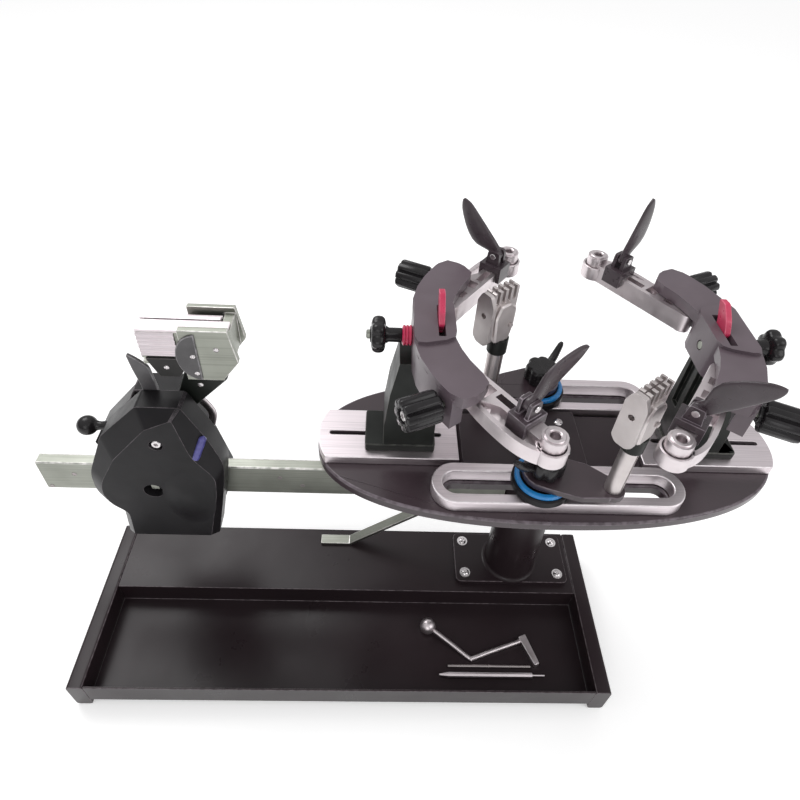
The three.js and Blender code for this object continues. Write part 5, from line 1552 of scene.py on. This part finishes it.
@dataclass
class StringClamp(Section):
    """One string clamp on its glide bar, heights counted from the bands' top.

    Attributes:
        end: which clamp.
        reach: how far the clamp's base lies from the middle, and the head from the base.
        disc_radius, disc_low, disc_top, seat, spigot: the base's disc, and radius and top of its two steps.
        stud, nut: radius, lower and upper end of the stud and of its nut below.
        ring, ring_low, ring_high: the blue ring.
        lever_radius, lever_low, lever_high, lever_grooves, lever_foot, lever_crown: the lobed cap.
        handle, handle_sizes: middle line and radii of its handle.
        head_turn: the head's turn in degrees.
        collar: inner and outer radius and heights of the black collar on the post.
        at, arm_turn, lever_turn: the clamp's frame, and its arm's and lever's turn in degrees.
    """

    end: End
    reach: float = 58.0
    disc_radius: float = 27.0
    disc_low: float = 4.3
    disc_top: float = 13.0
    seat: tuple[float, float] = (20.4, 15.0)
    spigot: tuple[float, float] = (8.0, 24.0)
    stud: tuple[float, float, float] = (5.0, -30.0, 5.0)
    nut: tuple[float, float, float] = (12.0, -29.3, -21.3)
    ring: tuple[float, float] = (20.6, 25.2)
    ring_low: float = 13.1
    ring_high: float = 16.9
    lever_radius: float = 15.9
    lever_low: float = 24.4
    lever_high: float = 42.0
    lever_grooves: tuple[float, int, float, int] = (2.4, 7, 2.4, 14)
    lever_foot: Outline = ((0.86, 0.0), (0.97, 1.0), (1.0, 2.6))
    lever_crown: Outline = ((1.0, -3.5), (0.97, -1.6), (0.88, -0.3), (0.70, 0.0), (0.0, 0.2))
    handle: tuple[Point, ...] = (
        (8.0, 0.0, 31.0), (16.0, 0.0, 33.5), (24.0, 0.0, 38.0), (31.0, 0.0, 45.0), (36.0, 0.0, 50.2))
    handle_sizes: Outline = ((0.0, 4.4), (0.5, 4.0), (0.9, 2.8), (1.0, 1.4))
    head_turn: float = 37.0
    collar: tuple[float, float, float, float] = (7.7, 9.2, 77.0, 94.0)
    at: Matrix = field(init=False)
    arm_turn: float = field(init=False)
    lever_turn: float = field(init=False)

    def build(self) -> None:
        """Makes the section's pieces."""
        place, way, self.arm_turn, self.lever_turn = CLAMP_PLACES[self.end]
        self.at = TABLE @ shift(place, way * self.reach, 0)
        name = self.end.value
        self.shop.refine(f"swivel_arm_{name}", Coat.TABLE_PAINT, 0.8, 3)
        self.shop.refine(f"clamp_body_{name}", Coat.BLASTED, 0.7, 3)
        self.shop.refine(f"clamp_jaw_{name}", Coat.BLASTED, 0.7, 3)
        self._base()
        self._lever()
        self._collar()

    def _base(self) -> None:
        """Makes the turned disc, its blue ring, and the stud with its nut below."""
        node, r = f"clamp_base_{self.end.value}", self.disc_radius
        low, top = self.disc_low, self.disc_top
        (seat, seat_top), (spigot, spigot_top) = self.seat, self.spigot
        profile = [(0, low), (r - 0.8, low), (r, low + 0.9), (r, top - 1.4), (r - 1.2, top), (seat, top),
                   (seat, seat_top), (spigot, seat_top), (spigot, spigot_top), (0, spigot_top)]
        self.shop.add(f"{node}_disc", node, Coat.BLACK_PLASTIC, lathe(profile, 72), self.at, replaces=True)
        stud = disc(*self.stud, 24) + disc(*self.nut, 6, 0.8)
        self.shop.add(f"{node}_stud", node, Coat.STEEL, stud, self.at)
        (inner, outer), low, high = self.ring, self.ring_low, self.ring_high
        ring = lathe([(inner, low), (outer - 0.2, low), (outer, low + 0.9), (outer - 0.2, high - 0.7),
                      (outer - 1, high), (inner + 0.8, high), (inner, high - 0.7)], 72, True)
        self.shop.add(f"{node}_ring", node, Coat.BLUE_RING, ring, self.at)

    def _lever(self) -> None:
        """Makes the lobed cap and its curved, tapered handle."""
        node = f"lock_lever_{self.end.value}"
        levels = [(share, self.lever_low + step) for share, step in self.lever_foot]
        levels += [(share, self.lever_high + step) for share, step in self.lever_crown]
        cap = stacked(grooved(self.lever_radius, *self.lever_grooves), levels)
        path = curve(self.handle, 8)
        sizes = np.interp(np.linspace(0, 1, len(path)), *zip(*self.handle_sizes))
        handle = tube(path, sizes, 20, (0.0, 1.0, 0.0))
        at = self.at @ turn(self.lever_turn)
        self.shop.add(f"{node}_smooth", node, Coat.KNOB_PLASTIC, cap + handle, at, replaces=True)

    def _collar(self) -> None:
        """Makes the black collar on the post below the head."""
        inner, outer, low, high = self.collar
        at = self.at @ turn(self.arm_turn) @ shift(self.reach, 0, 0) @ turn(self.head_turn - self.arm_turn)
        ring = lathe([(inner, low), (outer - 0.5, low), (outer, low + 0.6), (outer, high - 0.6),
                      (outer - 0.5, high), (inner, high)], 40, True)
        node = f"clamp_body_{self.end.value}"
        self.shop.add(f"{node}_collar", node, Coat.POST_PAINT, ring, at)


@dataclass
class TrayTools(Section):
    """Tools that lie in the tray.

    Attributes:
        floor: height of the tray's floor.
        rod, rod_path, rod_end: the crank rod's radius, its bends, and its height at the socket.
        ball, ball_at: radius and place of its ball grip.
        end_at, end_way, end_outline, end_corner, end_thickness: place, direction and form of its socket end.
    """

    floor: float = 14.3
    rod: float = 2.6
    ball: float = 9.0
    ball_at: tuple[float, float] = (91.0, -17.5)
    end_at: tuple[float, float] = (200.0, -30.0)
    rod_path: tuple[Point, ...] = (
        (115.0, -34.5, 5.6), (136.0, -50.0, 2.8), (140.0, -50.7, 2.7), (160.0, -43.6, 3.0))
    rod_end: float = 3.5
    end_way: tuple[float, float] = (11.0, -28.0)
    end_outline: Outline = ((-4.5, -4.5), (30.0, -3.0), (30.0, 3.0), (-4.5, 4.5))
    end_corner: float = 1.3
    end_thickness: float = 7.0

    def build(self) -> None:
        """Makes the section's pieces."""
        floor = self.floor
        bends = [(x, y, floor + z) for x, y, z in self.rod_path]
        line = curve([(*self.ball_at, floor + self.ball), *bends, (*self.end_at, floor + self.rod_end)], 8)
        angle = np.linspace(0, HALF_TURN, 20)
        ball = lathe(list(zip(self.ball * np.sin(angle), -self.ball * np.cos(angle))), 36)
        grip = ball.moved(shift(*self.ball_at, floor + self.ball))
        self.shop.add("crank_rod", "crank_handle", Coat.CAST_ALUMINIUM, tube(line, self.rod, 16) + grip)
        way = math.degrees(math.atan2(self.end_way[1], self.end_way[0]))
        end = prism(rounded(self.end_outline, self.end_corner), 0, self.end_thickness)
        self.shop.add("crank_socket_end", "crank_handle", Coat.CAST_ALUMINIUM, end,
                      ROW @ shift(*self.end_at, floor) @ turn(way), edges=Edges(0.8, 3), replaces=True)
        self.shop.refine("hex_key", Coat.TOOL_STEEL, 0.2)
        self.shop.refine("awl", Coat.ALUMINIUM, 0.2)


@dataclass
class Studio:
    """Floor, light and camera.

    Attributes:
        place: the camera's place in the machine's frame.
        azimuth, elevation, roll: its angles in degrees.
        focal: its focal length in pixels of the frame.
        centre: its middle in pixels.
        frame: width and height of the frame in pixels.
        sensor: width of its sensor in millimetres.
        floor_half, floor_drop: half size of the floor, and how far below the part it lies, in metres.
        floor_tone, floor_gloss: its tone, linear, and its roughness and specular level.
        floor_glow: how much brighter than lit it looks to the camera and in reflections.
        clip: nearest and farthest distance that the camera sees, in metres.
        world_strength: strength of the sky.
        sky: the sky's tones and the heights at which they stand.
        lamps: name, place, target, size and power of each lamp.
    """

    place: Point = (25.96, -331.25, 707.21)
    azimuth: float = 3.212
    elevation: float = 42.782
    roll: float = -3.965
    focal: float = 609.14
    centre: tuple[float, float] = (403.89, 373.16)
    frame: int = 800
    sensor: float = 36.0
    floor_half: float = 12.0
    floor_drop: float = 0.0005
    floor_tone: float = 0.93
    floor_glow: float = 0.32
    floor_gloss: tuple[float, float] = (0.9, 0.1)
    world_strength: float = 0.76
    sky: tuple[tuple[float, Tone], ...] = ((0.0, (0.42, 0.41, 0.42)), (0.75, (1.0, 1.0, 1.0)))
    clip: tuple[float, float] = (0.01, 50.0)
    lamps: tuple[tuple[str, Point, Point, float, float], ...] = field(default=(
        ("key", (-0.9, 0.9, 1.9), (0.0, 0.0, 0.2), 1.1, 16.0),
        ("fill", (1.6, -0.9, 1.4), (0.05, 0.0, 0.2), 1.2, 8.0),
        ("front", (-0.3, -1.8, 1.0), (0.0, 0.0, 0.2), 1.0, 5.0)))

    def build(self) -> None:
        """Makes the stage."""
        self._camera()
        self._floor()
        self._lights()
        self._world()

    def _camera(self) -> None:
        """Sets the camera from its place, its three angles, its focal length and its middle in pixels."""
        az, el, roll = (math.radians(a) for a in (self.azimuth, self.elevation, self.roll))
        ahead = Vector((math.sin(az) * math.cos(el), math.cos(az) * math.cos(el), -math.sin(el)))
        right = Vector((math.cos(az), -math.sin(az), 0.0))
        down = ahead.cross(right)
        across = math.cos(roll) * right + math.sin(roll) * down
        below = -math.sin(roll) * right + math.cos(roll) * down
        data = bpy.data.cameras.new("camera")
        data.sensor_width = self.sensor
        data.lens = self.focal * self.sensor / self.frame
        data.shift_x = -(self.centre[0] - self.frame / 2) / self.frame
        data.shift_y = (self.centre[1] - self.frame / 2) / self.frame
        data.clip_start, data.clip_end = self.clip
        camera = bpy.data.objects.new("camera", data)
        turned = Matrix((across, -below, -ahead)).transposed().to_4x4()
        camera.matrix_world = Matrix.Translation((Vector(self.place) + ORIGIN) * MM) @ turned
        bpy.context.scene.collection.objects.link(camera)
        bpy.context.scene.camera = camera

    def _floor(self) -> None:
        """Lays a wide, plain, pale floor that the camera and reflections see brighter than it is lit."""
        size = self.floor_half
        mesh = bpy.data.meshes.new("floor")
        corners = [(-size, -size, 0), (size, -size, 0), (size, size, 0), (-size, size, 0)]
        mesh.from_pydata(corners, [], [(0, 1, 2, 3)])
        floor = bpy.data.objects.new("floor", mesh)
        floor.location.z = -self.floor_drop
        material = bpy.data.materials.new("floor")
        material.use_nodes = True
        shader = material.node_tree.nodes["Principled BSDF"]
        shader.inputs["Base Color"].default_value = (self.floor_tone, self.floor_tone, self.floor_tone, 1.0)
        for socket, value in zip(("Roughness", "Specular IOR Level"), self.floor_gloss):
            shader.inputs[socket].default_value = value
        nodes, links = material.node_tree.nodes, material.node_tree.links
        path, seen = nodes.new("ShaderNodeLightPath"), None
        for ray in ("Is Camera Ray", "Is Glossy Ray", "Is Transmission Ray"):
            total = nodes.new("ShaderNodeMath")
            total.operation = "MULTIPLY_ADD"
            total.inputs[1].default_value, total.inputs[2].default_value = self.floor_glow, 0.0
            links.new(path.outputs[ray], total.inputs[0])
            if seen:
                links.new(seen.outputs[0], total.inputs[2])
            seen = total
        links.new(seen.outputs[0], shader.inputs["Emission Strength"])
        shader.inputs["Emission Color"].default_value = (1.0, 1.0, 1.0, 1.0)
        mesh.materials.append(material)
        bpy.context.scene.collection.objects.link(floor)

    def _lights(self) -> None:
        """Hangs soft square lamps."""
        for name, place, target, size, power in self.lamps:
            data = bpy.data.lights.new(name, "AREA")
            data.shape, data.size, data.energy = "SQUARE", size, power
            light = bpy.data.objects.new(name, data)
            light.location = place
            light.rotation_euler = (Vector(target) - Vector(place)).to_track_quat("-Z", "Y").to_euler()
            bpy.context.scene.collection.objects.link(light)

    def _world(self) -> None:
        """Sets a sky that runs from grey at the horizon to white above."""
        world = bpy.data.worlds.new("studio")
        world.use_nodes = True
        nodes, links = world.node_tree.nodes, world.node_tree.links
        space = nodes.new("ShaderNodeTexCoord")
        split = nodes.new("ShaderNodeSeparateXYZ")
        ramp = nodes.new("ShaderNodeValToRGB")
        for element, (position, tone) in zip(ramp.color_ramp.elements, self.sky):
            element.position, element.color = position, (*tone, 1.0)
        links.new(space.outputs["Generated"], split.inputs[0])
        links.new(split.outputs["Z"], ramp.inputs[0])
        links.new(ramp.outputs["Color"], nodes["Background"].inputs["Color"])
        nodes["Background"].inputs["Strength"].default_value = self.world_strength
        bpy.context.scene.world = world


def main() -> None:
    """Builds the dressed machine and its studio."""
    logging.basicConfig(level=logging.INFO, format="%(message)s")
    for old in list(bpy.data.objects):
        bpy.data.objects.remove(old)
    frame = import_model()
    bpy.context.scene.view_settings.view_transform = "Standard"
    Studio().build()
    shop = Workshop(frame)
    sections = [
        BaseFrame(shop), TensionHead(shop), Turntable(shop), Tower(shop, Side.RIGHT), Tower(shop, Side.LEFT),
        StringClamp(shop, End.FRONT), StringClamp(shop, End.BACK), TrayTools(shop)]
    for section in sections:
        LOG.info("%s", type(section).__name__)
        section.build()


if __name__ == "__main__":
    main()
